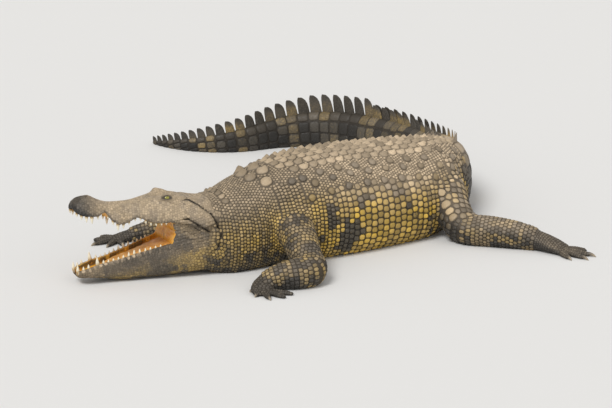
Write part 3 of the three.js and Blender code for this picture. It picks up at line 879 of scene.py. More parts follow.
def fold_shade_at(p, station, out):
    """Painted shade in the folds where the legs leave the trunk, from 0 to 1, by how deep points lie in
    them.
    """
    shade = np.zeros(len(p))
    for limb in LIMBS:
        if limb.blend < FOLD_BLEND:
            continue
        near = within(limb, p)
        if len(near):
            body = body_field(station[near], out[near], p[near][:, 2])
            shade[near] = np.maximum(shade[near], bell(np.maximum(limb.field(p[near]), body), 9))
    return shade


def head_marks(p, normal):
    """Share of the head at points, with its darkness, yellow and dust, and the painted shade in its
    creases.
    """
    along, out, up = head_coords(p, UPPER_PITCH)
    level = head_coords(p, 0)
    low_along, _, low_up = head_coords(p, LOWER_PITCH)
    margin = row_at(SKULL, along)[1]
    _, rim, low = row_at(MANDIBLE, low_along)
    head = step(-25, 30, along) * (np.abs(out) < 190)
    lower = step(8, -14, level[2])
    # painted shade in the creases: darkens the head and clears its dust
    shade = creased(*level)[1]
    speckle = step(-0.1, 0.6, 0.5 * noise(p, 11, 12) + noise(p, 34, 13))
    margin_band = step(24, 8, up - margin) * step(90, 180, along)
    dark = 0.14 + 0.16 * step(150, 60, along) + 0.55 * speckle
    dark += 0.35 * margin_band + 0.6 * step(370, 490, along + 0.5 * up)
    jaw_dark = 0.6 + 0.36 * speckle - 0.28 * step(rim - 55, low + 6, low_up)
    jaw_dark = mix(0.26 + 0.4 * speckle, jaw_dark, step(60, 170, low_along))
    distance, ahead, above, _ = eye_coords(along, out, up)
    socket = bell(np.hypot(ahead / LID_SIZE[0], above / LID_SIZE[1]) - 1.1, 0.7)
    socket *= step(34, 26, distance)
    dark = mix(dark, jaw_dark, lower) + 0.8 * socket
    chin = mix(0.2, 0.5, step(-30, -64, low_up)) * step(rim - 26, rim - 60, low_up)
    yellow = mix(0.04, chin, lower)
    dust = 0.3 + 0.42 * step(-0.2, 0.7, normal[:, 2]) - 0.6 * step(410, 475, along)
    dust *= 1 - 0.9 * socket
    gums = step(rim - 11, rim - 4, low_up) * step(200, 260, low_along)
    gums *= step(-0.5, 0.5, np.sin(low_along / 3.2))
    dust = mix(dust, 0.16 - 0.16 * step(rim - 40, low, low_up) + 0.9 * gums, lower)
    return head, np.clip(dark + 1.2 * shade, 0, 1.3), yellow, np.clip(dust * (1 - shade), 0, 1), shade


def body_marks(p, normal, station, out, on_body):
    """How dark, yellow and dusty the neck, the trunk and the tail are at points, with painted shade low on
    the neck.
    """
    _, top, _, low = row_at(GIRTH, np.clip(station, 0, TAIL_TIP))
    height = np.clip((p[:, 2] - low) / (top - low), 0, 1)
    tail = step(1020, 1160, station) * on_body
    lumps = noise(p, 58, 1) + 0.5 * noise(p, 27, 2)
    blotches = step(0.3, 0.44, lumps + 0.2 * noise(p, 13, 3))
    flank = step(0.84, 0.66, height) * step(0.06, 0.16, height)
    # dark blotches on the neck, and painted shade darkening its lower part toward the ground
    neck_blotches_and_shade = 0.45 * step(-0.2, 0.6, noise(p, 19, 14)) + 0.55 * step(0.5, 0.15, height)
    dark = mix(neck_blotches_and_shade, blotches * (0.12 + 0.72 * flank), step(220, 330, station))
    bands = whorl_bands(station, height, out < 0) * 0.66 + 0.25 * noise(p, 24, 5)
    dark = mix(dark, mix(0.34, 0.62, step(1150, 1620, station)) + bands, tail)
    yellow = step(0.9, 0.5, height) * (0.75 + 0.35 * noise(p, 45, 8))
    yellow = mix(yellow, 0.38 + 0.2 * noise(p, 40, 11), tail) * mix(0.6, 1, step(120, 300, station))
    dust = np.maximum(step(0.0, 0.85, normal[:, 2]), 0.85 * step(0.62, 0.95, height))
    dust = dust * (0.85 + 0.25 * noise(p, 55, 10)) * mix(0.5, 1.3, step(220, 800, station))
    dust = dust * mix(1, 0.08, step(1120, 1560, station + 70 * noise(p, 60, 15)) * on_body)
    return dark, yellow, dust


def markings(p, normal, station, out, region):
    """How dark, yellow and dusty the hide is at points, each in one of the hide's regions, with painted
    shade in the head's creases and the legs' folds.
    """
    on_body = (region == BODY) | (region == HEAD)
    dark, yellow, dust = body_marks(p, normal, station, out, on_body)
    leg_dark = 0.28 + 0.68 * step(-0.3, 0.3, noise(p, 30, 6) + 0.5 * noise(p, 15, 7))
    leg_yellow = 0.24 + 0.24 * noise(p, 40, 9)
    for here, darkness, yellowness, dustiness in (
        (region == LEG, leg_dark, leg_yellow, 0.45),
        (region == FOOT, 0.6 + 0.3 * leg_dark, 0.05, 0.2),
    ):
        dark = np.where(here, darkness, dark)
        yellow = np.where(here, yellowness, yellow)
        dust = np.where(here, dustiness * dust, dust)
    # the head's marks, with the painted shade of its creases
    head, *face, shade = head_marks(p, normal)
    dark, yellow, dust = [mix(a, b, head) for a, b in zip((dark, yellow, dust), face)]
    # painted shade in the legs' folds: darker there, and without dust
    fold_shade = fold_shade_at(p, station, out)
    dark = np.maximum(np.maximum(dark, shade * near_head(station, out)), 0.95 * fold_shade)
    return np.clip(dark, 0, 1.3), np.clip(yellow, 0, 1), np.clip(dust * (1 - fold_shade), 0, 1)


def facing(normal):
    """How far normals look out to the head's left, and how far ahead."""
    c, s = cos(HEAD_YAW), sin(HEAD_YAW)
    return normal[:, 0] * s - normal[:, 1] * c, -normal[:, 0] * c - normal[:, 1] * s


def mouth_lining(p, normal):
    """Where the mouth's lining shows, from 0 to 1: the palate, the floor and the throat."""
    across, ahead = facing(normal)
    along, out, up = head_coords(p, UPPER_PITCH)
    half, margin = row_at(SKULL, along)[:2]
    palate = step(half - 3, half - 11, np.abs(out)) * step(-0.25, -0.6, normal[:, 2])
    palate = palate * step(margin + 26, margin + 18, up) * (along < 480)
    low_along, low_out, low_up = head_coords(p, LOWER_PITCH)
    half, rim = row_at(MANDIBLE, low_along)[:2]
    floor = step(0.45, -0.05, across * np.sign(low_out)) * step(rim - 44, rim - 26, low_up)
    floor = floor * step(half * 0.97 - 5, half * 0.95 - 13, np.abs(low_out))
    level_along, level_out, level_up = head_coords(p, 0)
    throat = step(0.25, 0.65, ahead) * step(0.5, 0.2, across * np.sign(level_out))
    throat = throat * (level_along > 108) * (level_along < 160) * (up < margin + 14) * (low_up > rim - 26)
    lining = np.where(level_up < -12, floor * (low_up > rim - 60) * (low_along < 484), palate)
    inside = (level_along > 118) & (np.abs(out) < 150)
    return np.where(inside, np.maximum(lining, throat), 0)


def mouth_shade(p, normal):
    """Painted shade in the mouth, from 0 to 1: on the far jaw's inner wall and in patches toward the chin.
    """
    along, out, _ = head_coords(p, LOWER_PITCH)
    wall = step(0.2, 0.7, facing(normal)[0]) * step(170, 215, along) * (out < 0)
    patches = step(0.1, 0.5, noise(p, 22, 31)) * step(210, 300, along)
    return np.clip(0.8 * wall * step(-0.9, 0.1, noise(p, 16, 32)) + 0.6 * patches, 0, 0.85)


# ---- The coat of scales ----
def outline(station):
    """One side of the body's section from the back's middle to the belly's: out, height and arc."""
    half, top, axis, low = numbers_at(GIRTH, station)
    angle = np.linspace(pi / 2, -pi / 2, 161)
    c, s = np.abs(np.cos(angle)), np.sin(angle)
    out = (half - COAT) * np.where(s > 0, c ** 0.9, c ** 0.6)
    rise = np.where(s > 0, (top - COAT - axis) * np.abs(s) ** 0.9, -(axis - low) * np.abs(s) ** 0.8)
    z = np.maximum(axis + rise, FLOOR_LEVEL)
    return out, z, run_along(out, z)


def row(station, arcs):
    """Centres and charts across both sides of the body, at arcs from the back's middle."""
    out, z, arc = outline(station)
    spots, charts = [], []
    for a in arcs:
        if a > arc[-1] - 3:
            continue
        for side in ((1, -1) if a > 1 else (1,)):
            spots.append(beside(station, side, 0, np.interp(a, arc, out), np.interp(a, arc, z)))
            charts.append((station / TAIL_TIP, 0.5 + side * 0.49 * a / arc[-1]))
    return spots, charts


# Kinds of scale: mean half width, height, keel, gap between, sides, roundness, lift of the rear edge.
KINDS = {
    "nuchal": dict(size=29, height=6, keel=14, gap=1.6, sides=16, round=9, lift=2.5),
    "occipital": dict(size=15, height=4, keel=7, gap=1.4, sides=12, round=8, lift=1.5),
    "dorsal": dict(size=20, height=3.4, keel=11, gap=1.2, sides=16, round=14, lift=1.0),
    "oval": dict(size=19, height=6.5, keel=5, gap=1.8, sides=16, round=6, lift=1),
    "flank": dict(size=13.5, height=4.0, keel=0.6, gap=1.8, sides=12, round=9, lift=0.4),
    "belly": dict(size=13.5, height=2.2, keel=0, gap=1.0, sides=12, round=14, lift=0.2),
    "grain": dict(size=5.4, height=2.0, keel=0.3, gap=0.9, sides=8, round=7, lift=0.3),
    "neck": dict(size=6.0, height=2.4, keel=0.5, gap=0.9, sides=8, round=9, lift=0.3),
    "throat": dict(size=6.0, height=1.3, keel=0, gap=0.7, sides=8, round=12, lift=0.2),
    "face": dict(size=5.0, height=0.55, keel=0, gap=0.45, sides=12, round=24, lift=0.1),
    "tail": dict(size=26, height=3.2, keel=0.8, gap=1.0, sides=16, round=22, lift=0.6),
    "plate": dict(size=19, height=5.5, keel=1, gap=1.8, sides=12, round=10, lift=1.2),
    "thigh": dict(size=11.5, height=3.4, keel=2.0, gap=1.4, sides=12, round=8, lift=1.0),
    "limb": dict(size=7.4, height=2.4, keel=0.8, gap=0.9, sides=8, round=13, lift=0.6),
    "foot": dict(size=4.6, height=1.3, keel=0.2, gap=0.8, sides=8, round=8, lift=0.3),
}
TRUNK_START = 250  # station where the trunk's coat follows the neck's
TRUNK_SPLIT = 660  # station where the trunk's coat is divided in two pieces
TRUNK_END = 1118  # station where the tail's coat follows the trunk's
BACK_END = 1100  # station where the scutes of the back and the grains between them end
FLANK_SHARE = 0.7  # share of the way from the back's middle to the belly's where belly scales begin
WHORL_LEAN = 20  # how much nearer the tip a whorl's top is than its foot
PATCH = 0.0015  # half width of a scale's patch in the baking map
RINGS = [(1.0, -0.6), (0.96, 0.3), (0.82, 0.82), (0.45, 1.0)]  # share of the width, share of the height


class Coat:
    """Scales gathered by kind and piece, each with its chart, which is its place in the baking map.

    Scales settle in this order, after those of the first kinds, and an earlier one keeps its place.
    """

    NAMES = ("kind", "piece", "spot", "lie", "chart", "region", "grade")

    def __init__(self):
        self.scales = []

    def add(self, kind, piece, spots, lies, charts, region=BODY, grade=1.0):
        for spot, lie, chart in zip(spots, lies, charts):
            self.scales.append((kind, piece, spot, lie, chart, region, grade))

    def add_row(self, kind, piece, station, arcs, grade=1.0):
        spots, charts = row(station, arcs)
        heading = float(spine_at(station)[2])
        lies = [(cos(heading), sin(heading), 0)] * len(spots)
        self.add(kind, piece, spots, lies, charts, grade=grade)

    def columns(self):
        """What is known of the scales, as an array for each name."""
        return {name: np.array(column) for name, column in zip(self.NAMES, zip(*self.scales))}


# Along the body: [station, value].
FLANK_GRADE = [[230, 0.5], [400, 0.56], [560, 1.0], [780, 1.0], [900, 0.68], [TRUNK_END, 0.85]]
DORSAL_WIDTH = [[288, 32], [400, 38], [850, 38], [1000, 35], [TRUNK_END, 31]]
WHORL_TALL = [[CREST_START, 54], [2000, 60], [2985, 20]]
WHORL_GRADE = [[CREST_START, 1.15], [2000, 1.15], [2985, 0.36]]


def along_body(table, station):
    """A value from a table of stations: between two of them it changes evenly."""
    return float(np.interp(station, *np.transpose(table)))


def broad(station):
    """True where the back has three pairs of dorsal scutes side by side, and not two."""
    return 330 < station < 960


def scales_on_body(coat):
    scutes_on_neck(coat)
    scutes_on_back(coat)
    scales_on_tail(coat)
    small_scales(coat)


def scutes_on_neck(coat):
    """Occipital and nuchal scutes behind the head."""
    coat.add_row("occipital", "coat_neck", 62, [16, 46, 74])
    for station, arc in ((194, 29), (248, 29), (222, 86)):
        coat.add_row("nuchal", "coat_neck", station, [arc])


def scutes_on_back(coat):
    """Keeled scutes in rows down the back, and oval ones scattered beside them."""
    stations = even(306, BACK_END, 40)
    for station in stations:
        width = along_body(DORSAL_WIDTH, station)
        arcs = [width * (n + 0.5) for n in range(3 if broad(station) else 2)]
        coat.add_row("dorsal", "coat_trunk", station, arcs)
    for n, station in enumerate(stations):
        edge = 114 if broad(station) else 74
        if n % 2 == 0:
            coat.add_row("oval", "coat_trunk", station, [edge + 62], 0.9)
        else:
            coat.add_row("oval", "coat_trunk", station, [edge + 26])
            coat.add_row("oval", "coat_trunk", station + 8, [edge + 108], 0.85)


def scales_on_tail(coat):
    """Tall scales in whorls, one above the other, that lean toward the tip at the top."""
    for station in WHORLS:
        arc, grade = outline(station)[2][-1], along_body(WHORL_GRADE, station)
        count = max(int(round(arc / along_body(WHORL_TALL, station))), 3)
        for share in (np.arange(count) + 0.5) / count:
            leaning = station + WHORL_LEAN * grade * (0.5 - share)
            coat.add_row("tail", "coat_tail", leaning, [arc * share], grade)


def small_scales(coat):
    """Rows of flank and belly scales, then the small ones that fill the back and the neck."""
    for n, station in enumerate(graded(236, TRUNK_END, lambda s: 27 * along_body(FLANK_GRADE, s))):
        arc, grade = outline(station)[2][-1], along_body(FLANK_GRADE, station)
        arcs = even(226 if broad(station) else 130, arc * FLANK_SHARE, 24.5 * grade) + 6 * grade * (n % 2)
        coat.add_row("flank", "coat_trunk", station, arcs, grade)
    for station in even(TRUNK_START, TRUNK_END, 27):
        arc = outline(station)[2][-1]
        coat.add_row("belly", "coat_trunk", station, even(arc * FLANK_SHARE + 18, arc - 14, 27))
    for n, station in enumerate(even(TRUNK_START, BACK_END, 11.2)):
        arcs = even(10, 225 if broad(station) else 150, 11) + 5.5 * (n % 2)
        coat.add_row("grain", "coat_trunk", station, arcs)
    for n, station in enumerate(even(-44, 246, 9.6)):
        arcs = even(0, outline(station)[2][-1], 12.5) + 6.2 * (n % 2)
        coat.add_row("neck", "coat_neck", station, arcs)


def jaw_rows(coat, kind, piece, section, pitch, alongs, spacing, span):
    """Rows of small plates round a jaw, from its section's outline at each distance."""
    for n, along in enumerate(alongs):
        outs, ups = section(along)
        arc = run_along(outs, ups)
        arcs = even(0, arc[-1], spacing) + spacing / 2 * (n % 2)
        first, last = span(along)
        spots, lies, charts = [], [], []
        for a in arcs[(arcs > first * arc[-1]) & (arcs < last * arc[-1])]:
            for side in (1, -1):
                out, up = np.interp(a, arc, outs), np.interp(a, arc, ups)
                spot = jaw_point(along, side * out, up, pitch)
                spots.append(spot)
                lies.append(jaw_point(along - 10, side * out, up, pitch) - spot)
                charts.append((0.02 + 0.3 * (along + 60) / 600, 0.5 + side * 0.48 * a / arc[-1]))
        coat.add(kind, piece, spots, lies, charts, HEAD)


def jaw_section(along):
    """Outline of the lower jaw's left half from its rim down to the middle of its underside."""
    half, rim, low = numbers_at(MANDIBLE, along)
    share = np.linspace(0, 1, 60)
    outs = half * row_at(MANDIBLE_SIDE, share)[0]
    return np.append(outs, np.linspace(outs[-1], 0, 20)), np.append(mix(rim, low, share), np.full(20, low))


def skull_section(along):
    """Outline of the upper head's left half from its margin up to the middle of its top."""
    half, margin, top, flat = numbers_at(SKULL, along)
    share = np.linspace(0, 0.95, 60)
    outs = mix(half, flat, row_at(SKULL_SIDE, share)[0])
    roof = np.linspace(outs[-1], 0, 20)
    ups = top + crown_relief(np.full(20, float(along)), roof)
    return np.append(outs, roof), np.append(mix(margin, top, share), ups)


def cheek_section(along):
    """Outline of the flesh between the jaws, from low to high on its left."""
    return np.full(30, numbers_at(MANDIBLE, along)[0] * 0.94), np.linspace(-60, 60, 30)


def scales_on_head(coat):
    """Flat cracked plates over the face, and small scales under the jaw and throat."""
    rows = [
        ("throat", "coat_throat", jaw_section, LOWER_PITCH, even(-52, 440, 11.5), 11.5,
         lambda along: (mix(0.2, 0.62, step(20, 170, along)), 1)),
        ("face", "coat_face_lower", jaw_section, LOWER_PITCH, even(10, 496, 8.4), 8.8,
         lambda along: (0.02, mix(0.25, 0.68, step(20, 170, along)) + step(380, 440, along))),
        ("face", "coat_face_upper", skull_section, UPPER_PITCH, even(6, 500, 8.4), 8.8,
         lambda along: (0.02, 1)),
        ("face", "coat_face_lower", cheek_section, 0, even(-30, 134, 8.4), 8.8,
         lambda along: (0, 1)),
    ]
    for settings in rows:
        jaw_rows(coat, *settings)


def scales_on_leg(coat, leg, parts):
    piece = "coat_" + leg["name"]
    hind = leg["root"] == HIP
    kinds = [("thigh", 24) if hind else ("limb", 14.5), ("limb", 14.5), ("foot", 9.5)]
    for part, (limb, (kind, pitch)) in enumerate(zip(parts, kinds)):
        length = limb.run[-1]
        for n, at in enumerate(even(0, length, pitch)):
            center, aside, over, across, thick = limb.at(at)
            count = int(round(pi * (across + thick) / pitch))
            angles = 2 * pi * (np.arange(count) + 0.5 * (n % 2)) / count
            lie = limb.forward[np.abs(limb.run - at).argmin()]
            charts = [((part + at / length) / 4, a / 2 / pi % 1) for a in angles]
            spots = oval(center, aside * across, over * thick, angles)
            coat.add(kind, piece, spots, [lie] * count, charts, FOOT if part == 2 else LEG)
        if part == 1:
            scales_on_elbow(coat, piece, limb, pitch)
    if hind:
        plates_on_thigh(coat, piece, parts[0], leg["side"])
    for number, toe in enumerate(parts[3:]):
        scales_on_toe(coat, piece, toe, number)


def scales_on_elbow(coat, piece, limb, pitch):
    """Rings of scales over the round upper end of a forearm or shank."""
    center, aside, over = limb.ring(0)
    for share in (0.25, 0.5, 0.75, 0.98):
        angles = circle(max(int(2 * pi * (1 - share) * limb.across[0] / pitch), 1))
        middle = center - limb.forward[0] * share * limb.across[0]
        spots = oval(middle, (1 - share) * aside, (1 - share) * over, angles)
        charts = [(0.25, a / 2 / pi) for a in angles]
        coat.add("limb", piece, spots, [limb.over[0]] * len(spots), charts, LEG)


def plates_on_thigh(coat, piece, thigh, side):
    """A row of large plates along the front of the thigh."""
    angle = pi / 2 - side * 0.7
    length = thigh.run[-1]
    for at in even(0.25 * length, 0.97 * length, 26):
        near = np.abs(thigh.run - at).argmin()
        spots = oval(*thigh.ring(near), [angle])
        coat.add("plate", piece, spots, [thigh.forward[near]], [(at / length / 4, 0.5)], LEG)


def scales_on_toe(coat, piece, toe, number):
    """Rows of four scales over the top of a toe."""
    length = toe.run[-1]
    angles = [pi / 2 + turn for turn in (-1.15, -0.38, 0.38, 1.15)]
    for at in even(8, length - 4, 8.5):
        near = np.abs(toe.run - at).argmin()
        spots = oval(toe.at(at)[0], *toe.ring(near)[1:], angles)
        charts = [(0.76 + 0.22 * at / length, (number + a / 2 / pi) / 6) for a in angles]
        coat.add("foot", piece, spots, [toe.forward[near]] * 4, charts, FOOT)


def of_kind(scales, key):
    """What the table of kinds says of each scale under a key."""
    return np.array([KINDS[kind][key] for kind in scales["kind"]], float)


CROWDING = 0.8  # how near two scales may lie, as a share of their half widths together
FIRST_KINDS = ("nuchal", "occipital", "dorsal", "oval", "plate")  # these settle before the others


def clear_places(places, normals, on_head):
    """Which places are clear of the mouth, creases, eyes and nostrils, and of the head if not on it."""
    along, out, up = head_coords(places, UPPER_PITCH)
    off_head = (along <= 8) | (np.abs(out) >= 150)
    off_mouth = (along <= 0) | (mouth_lining(places, normals) <= 0.1)
    off_crease = creased(*head_coords(places, 0))[1] < 0.15
    distance, ahead, above, _ = eye_coords(along, out, up)
    off_eye = (distance >= 34) | (np.hypot(ahead / 25, above / 18) >= 1)
    nose = np.hypot(along - NOSTRIL["along"] - 2, np.abs(out) - NOSTRIL["out"])
    off_nostril = (nose >= 9) | (up <= 52)
    return (off_head | on_head) & off_mouth & off_crease & off_eye & off_nostril


def settled_scales(scales, field, surface):
    """The scales on the skin, without those that lost their place or lie in another's."""
    rng = np.random.default_rng(7)
    kinds, on_head = scales["kind"], scales["region"] == HEAD
    face = kinds == "face"
    size = of_kind(scales, "size") * scales["grade"]
    spots = scales["spot"]
    spots = spots + rng.normal(0, 1, spots.shape) * (size * np.where(face, 0.2, 0.05))[:, None]
    places, normals = field.project(spots, 4)
    places[on_head], normals[on_head] = surface.project(spots[on_head])
    moved = np.linalg.norm(places - spots, axis=1)
    sound = (moved < np.where(face, 12, 24)) & (places[:, 2] > FLOOR_LEVEL - 1)
    sound &= (np.abs(field.sample(places)) < 1) | on_head
    sound &= clear_places(places, normals, on_head)
    tree = tree_of(places)
    kept = np.zeros(len(places), bool)
    order = np.argsort(~np.isin(kinds, FIRST_KINDS), kind="stable")
    for n in order[sound[order]]:
        crowd = tree.find_range(places[n], (size[n] + KINDS["nuchal"]["size"]) * CROWDING)
        kept[n] = not any(
            kept[m] and gap < (size[n] + size[m]) * CROWDING * (1 if kinds[m] != kinds[n] else 0.8)
            and normals[m] @ normals[n] > 0 for _, m, gap in crowd if m != n
        )
    scales.update(place=places, normal=normals, size=size)
    return {name: column[kept] for name, column in scales.items()}


def tree_of(places):
    tree = KDTree(len(places))
    for n, place in enumerate(places):
        tree.insert(place, n)
    tree.balance()
    return tree


def cell_shapes(scales, wanted, angles):
    """The wanted scales' reach at each angle round them, halfway to their neighbours."""
    places, frames, size, limits = [scales[key] for key in ("place", "frame", "size", "limit")]
    roundness = of_kind(scales, "round")
    tree = tree_of(places)
    reach = np.empty((len(places), len(angles)))
    rays = np.stack([np.cos(angles), np.sin(angles)])
    for n in np.flatnonzero(wanted):
        who = np.array([m for _, m, _ in tree.find_n(places[n], 22)[1:]])
        who = who[frames[who, 2] @ frames[n, 2] > 0.25]
        apart = places[who] - places[n]
        flat = apart @ frames[n][:2].T
        flat *= (np.linalg.norm(apart, axis=1) / (np.linalg.norm(flat, axis=1) + 1e-9))[:, None]
        share = size[n] / (size[n] + size[who])
        toward = np.maximum(flat @ rays, 1e-3)
        limit = (flat ** 2).sum(axis=1)[:, None] * share[:, None] / toward
        limit = np.vstack([limit, np.full(len(angles), limits[n])])
        reach[n] = (limit ** -roundness[n]).sum(axis=0) ** (-1 / roundness[n])
    return reach


def placed_scales(field, surface):
    """All the scales on the skin, each with its frame, its marks and the limit of its reach."""
    coat = Coat()
    scales_on_head(coat)
    scales_on_body(coat)
    for leg, (parts, _) in zip(LEGS, LEG_FLESH):
        scales_on_leg(coat, leg, parts)
    scales = settled_scales(coat.columns(), field, surface)
    place, normal, lie, kind, size = [scales[key] for key in ("place", "normal", "lie", "kind", "size")]
    lie = lie - normal * (lie * normal).sum(axis=1)[:, None]
    lie /= np.linalg.norm(lie, axis=1)[:, None] + 1e-9
    scales["frame"] = np.stack([np.cross(lie, normal), lie, normal], axis=1)
    station, out = spine_coords(place[:, 0], place[:, 1])
    trunk = np.where(station < TRUNK_SPLIT, "coat_trunk_fore", "coat_trunk_hind")
    scales["piece"] = np.where(scales["piece"] == "coat_trunk", trunk, scales["piece"])
    dark, yellow, dust = markings(place, normal, station, out, scales["region"])
    face, round_lump, plate = [kind == name for name in ("face", "oval", "plate")]
    rng = np.random.default_rng(11)
    tone = rng.normal(0, 1, len(place)) * np.where(face, 0.6, 1)
    dark = np.where(round_lump, np.where(tone > 0.1, 0.85, 0.05), np.where(plate, 0.25, dark))
    dust = np.where(round_lump, 0.5 * dust, np.where(plate, 0.75, dust))
    scales["marks"] = np.stack([dark, yellow, dust, tone], axis=1)
    limit = size * np.where((scales["region"] != BODY) & ~plate, 1.7, 1.3)
    beside_crease = creased(*head_coords(place, 0))[1] > 0.003
    scales["limit"] = np.where(face & beside_crease, 0.85 * size, limit)
    return scales


def build_coat(field, surface):
    """For each piece of the coat, its blocks of scales: one block for each number of sides."""
    scales = placed_scales(field, surface)
    blocks = {}
    for sides in (8, 12, 16):
        angles = circle(sides)
        sized = of_kind(scales, "sides") == sides
        scales["reach"] = cell_shapes(scales, sized, angles)
        for piece in np.unique(scales["piece"]):
            chosen = sized & (scales["piece"] == piece)
            if chosen.any():
                part = {name: column[chosen] for name, column in scales.items()}
                ground = surface if part["region"].min() >= FOOT else field
                blocks.setdefault(str(piece), []).append(scale_block(ground, part, angles))
    return blocks


def scale_points(ground, scales, angles):
    """Each scale's points, ring by ring and then its tip and its foot, and their shares of its width."""
    height, keel, gap, lift = [of_kind(scales, key)[:, None] for key in ("height", "keel", "gap", "lift")]
    width = np.maximum(scales["reach"] - gap / 2, 1.0)
    spread = np.median(width, axis=1)[:, None]
    fullness = np.minimum(1, spread / scales["size"][:, None] + 0.15)
    aside, lie, normal = [scales["frame"][:, n, None] for n in range(3)]
    place = scales["place"][:, None]
    points, shares = [], []
    for share, rise in RINGS + [(0.0, 1.0)]:
        around = angles if share else angles[:1]
        x, y = [width[:, :len(around)] * turn(around) * share for turn in (np.cos, np.sin)]
        back = np.clip(y / spread, -1, 1)
        crest = keel * bell(x, 0.2 * spread) * (0.25 + 0.75 * bell(back - 0.3, 0.55))
        crest = crest * step(1.02, 0.7, np.abs(back))
        high = height * rise * fullness + (crest + lift * back * share) * (rise > 0)
        spot = place + aside * x[..., None] + lie * y[..., None]
        base, up = ground.project(spot.reshape(-1, 3))
        up = up.reshape(spot.shape) * 0.5 + normal * 0.5
        up /= np.linalg.norm(up, axis=-1, keepdims=True)
        points.append(base.reshape(spot.shape) + up * high[..., None])
        shares.append(np.full(len(around), share))
    points = np.concatenate(points + [place - normal * 1.5], axis=1)
    points[..., 2] = np.maximum(points[..., 2], 0.1)
    return points, np.append(np.concatenate(shares), 1.0)


def scale_block(ground, scales, angles):
    """The points, faces, patches and marks of scales with the same number of sides."""
    points, shares = scale_points(ground, scales, angles)
    count, per = points.shape[:2]
    quads, tris = ring_faces(len(angles), len(RINGS), per - 1, per - 2)
    shift = np.arange(count)[:, None, None] * per
    circles = [np.stack([np.cos(angles), np.sin(angles)], axis=1) * share for share, _ in RINGS]
    patch = np.vstack([*circles, np.zeros((2, 2))]) * PATCH
    rim = shares * np.where(scales["kind"] == "face", 0.9, 1)[:, None]
    marks = np.repeat(scales["marks"], per, axis=0)
    return {
        "points": points.reshape(-1, 3),
        "quads": (quads + shift).reshape(-1, 4),
        "tris": (tris + shift).reshape(-1, 3),
        "uv": (scales["chart"][:, None] * 0.98 + 0.01 + patch).reshape(-1, 2),
        "marks": np.column_stack([marks, rim.ravel()]),
    }


def ring_faces(sides, count, foot, tip):
    """Faces through rings of points, closed at both ends by the points numbered foot and tip."""
    quads, tris = [], []
    last = (count - 1) * sides
    for k in range(sides):
        after = (k + 1) % sides
        for ring in range(0, last, sides):
            quads.append((ring + k, ring + after, ring + sides + after, ring + sides + k))
        tris += [(after, k, foot), (last + k, last + after, tip)]
    return np.array(quads), np.array(tris)


def joined(blocks):
    """One block from several, with the faces' points counted on from block to block."""
    first = 0
    for block in blocks:
        block["quads"] = block["quads"] + first
        block["tris"] = block["tris"] + first
        first += len(block["points"])
    return {name: np.concatenate([block[name] for block in blocks]) for name in blocks[0]}


def bulk_mesh(name, points, quads, tris):
    """An object from arrays of points in millimetres, four-sided and three-sided faces."""
    mesh = bpy.data.meshes.new(name)
    corners = np.concatenate([quads.ravel(), tris.ravel()]).astype(np.int32)
    totals = np.concatenate([np.full(len(quads), 4), np.full(len(tris), 3)]).astype(np.int32)
    mesh.vertices.add(len(points))
    mesh.loops.add(len(corners))
    mesh.polygons.add(len(totals))
    mesh.vertices.foreach_set("co", (points * MM).astype(np.float32).ravel())
    mesh.loops.foreach_set("vertex_index", corners)
    mesh.polygons.foreach_set("loop_start", np.append(0, np.cumsum(totals)[:-1]).astype(np.int32))
    mesh.polygons.foreach_set("loop_total", totals)
    mesh.polygons.foreach_set("use_smooth", np.ones(len(totals), bool))
    mesh.update(calc_edges=True)
    mesh.validate()
    return linked(name, mesh)


def set_marks(piece, **values):
    for name, value in values.items():
        layer = piece.data.attributes.new(name, "FLOAT", "POINT")
        layer.data.foreach_set("value", np.asarray(value, np.float32))


def set_patches(piece, uv):
    layer = piece.data.uv_layers.new(name="OFBake")
    corners = np.empty(len(piece.data.loops), np.int32)
    piece.data.loops.foreach_get("vertex_index", corners)
    layer.uv.foreach_set("vector", uv[corners].astype(np.float32).ravel())


def coat_pieces(coat):
    """The coat's objects, one for each piece's blocks of scales."""
    pieces = []
    for name, blocks in coat.items():
        block = joined(blocks)
        piece = bulk_mesh(name, block["points"], block["quads"], block["tris"])
        set_marks(piece, **dict(zip(("dark", "yellow", "dust", "tone", "rim"), block["marks"].T)))
        set_patches(piece, block["uv"])
        pieces.append(piece)
    return pieces


# ---- Tubes: teeth, claws, fins and the tongue ----
def tube(rings):
    """A block of points and faces: a closed tube through rings with equal counts of points."""
    sides, count = len(rings[0]), len(rings)
    points = np.vstack([*rings, np.mean(rings[0], axis=0), np.mean(rings[-1], axis=0)])
    quads, tris = ring_faces(sides, count, sides * count, sides * count + 1)
    a, b, c = [points[quads[:, n]] for n in range(3)]
    if (np.cross(b - a, c - a) * (a - points.mean(axis=0))).sum() < 0:
        quads, tris = quads[:, ::-1], tris[:, ::-1]
    return {"points": points, "quads": quads, "tris": tris}


def up_tube(steps):
    """A value for each point of a tube of twelve-sided rings, from the values of its rings."""
    return np.append(np.repeat(steps, 12), [steps[0], steps[-1]])


def joined_tubes(name, tubes):
    block = joined(tubes)
    return bulk_mesh(name, block["points"], block["quads"], block["tris"])


TOOTH_STEPS = [-0.45, 0.0, 0.15, 0.35, 0.55, 0.75, 0.9, 1.0]  # shares of a tooth's length


def tooth(along, length, side, out, up, direction, pitch):
    """A curved cone with two faint edges, rooted in the jaw."""
    radius = 2.7 + 0.135 * length
    c, s = np.cos(circle(12)), np.sin(circle(12))
    edge = 1 + 0.1 * np.abs(c) ** 6
    rings = []
    for t in TOOTH_STEPS:
        wide = radius * (1 - 0.06 * t if t < 0 else (1 - t ** 1.35) ** 0.85 + 0.05)
        lean = TOOTH_LEAN * length * t - 0.1 * length * t * t
        back = -0.16 * length * max(t, 0) ** 2
        rings.append(jaw_point(along + back + wide * edge * c, side * (out + lean) + 0.86 * wide * s,
                               up + direction * length * t, pitch))
    return tube(rings)


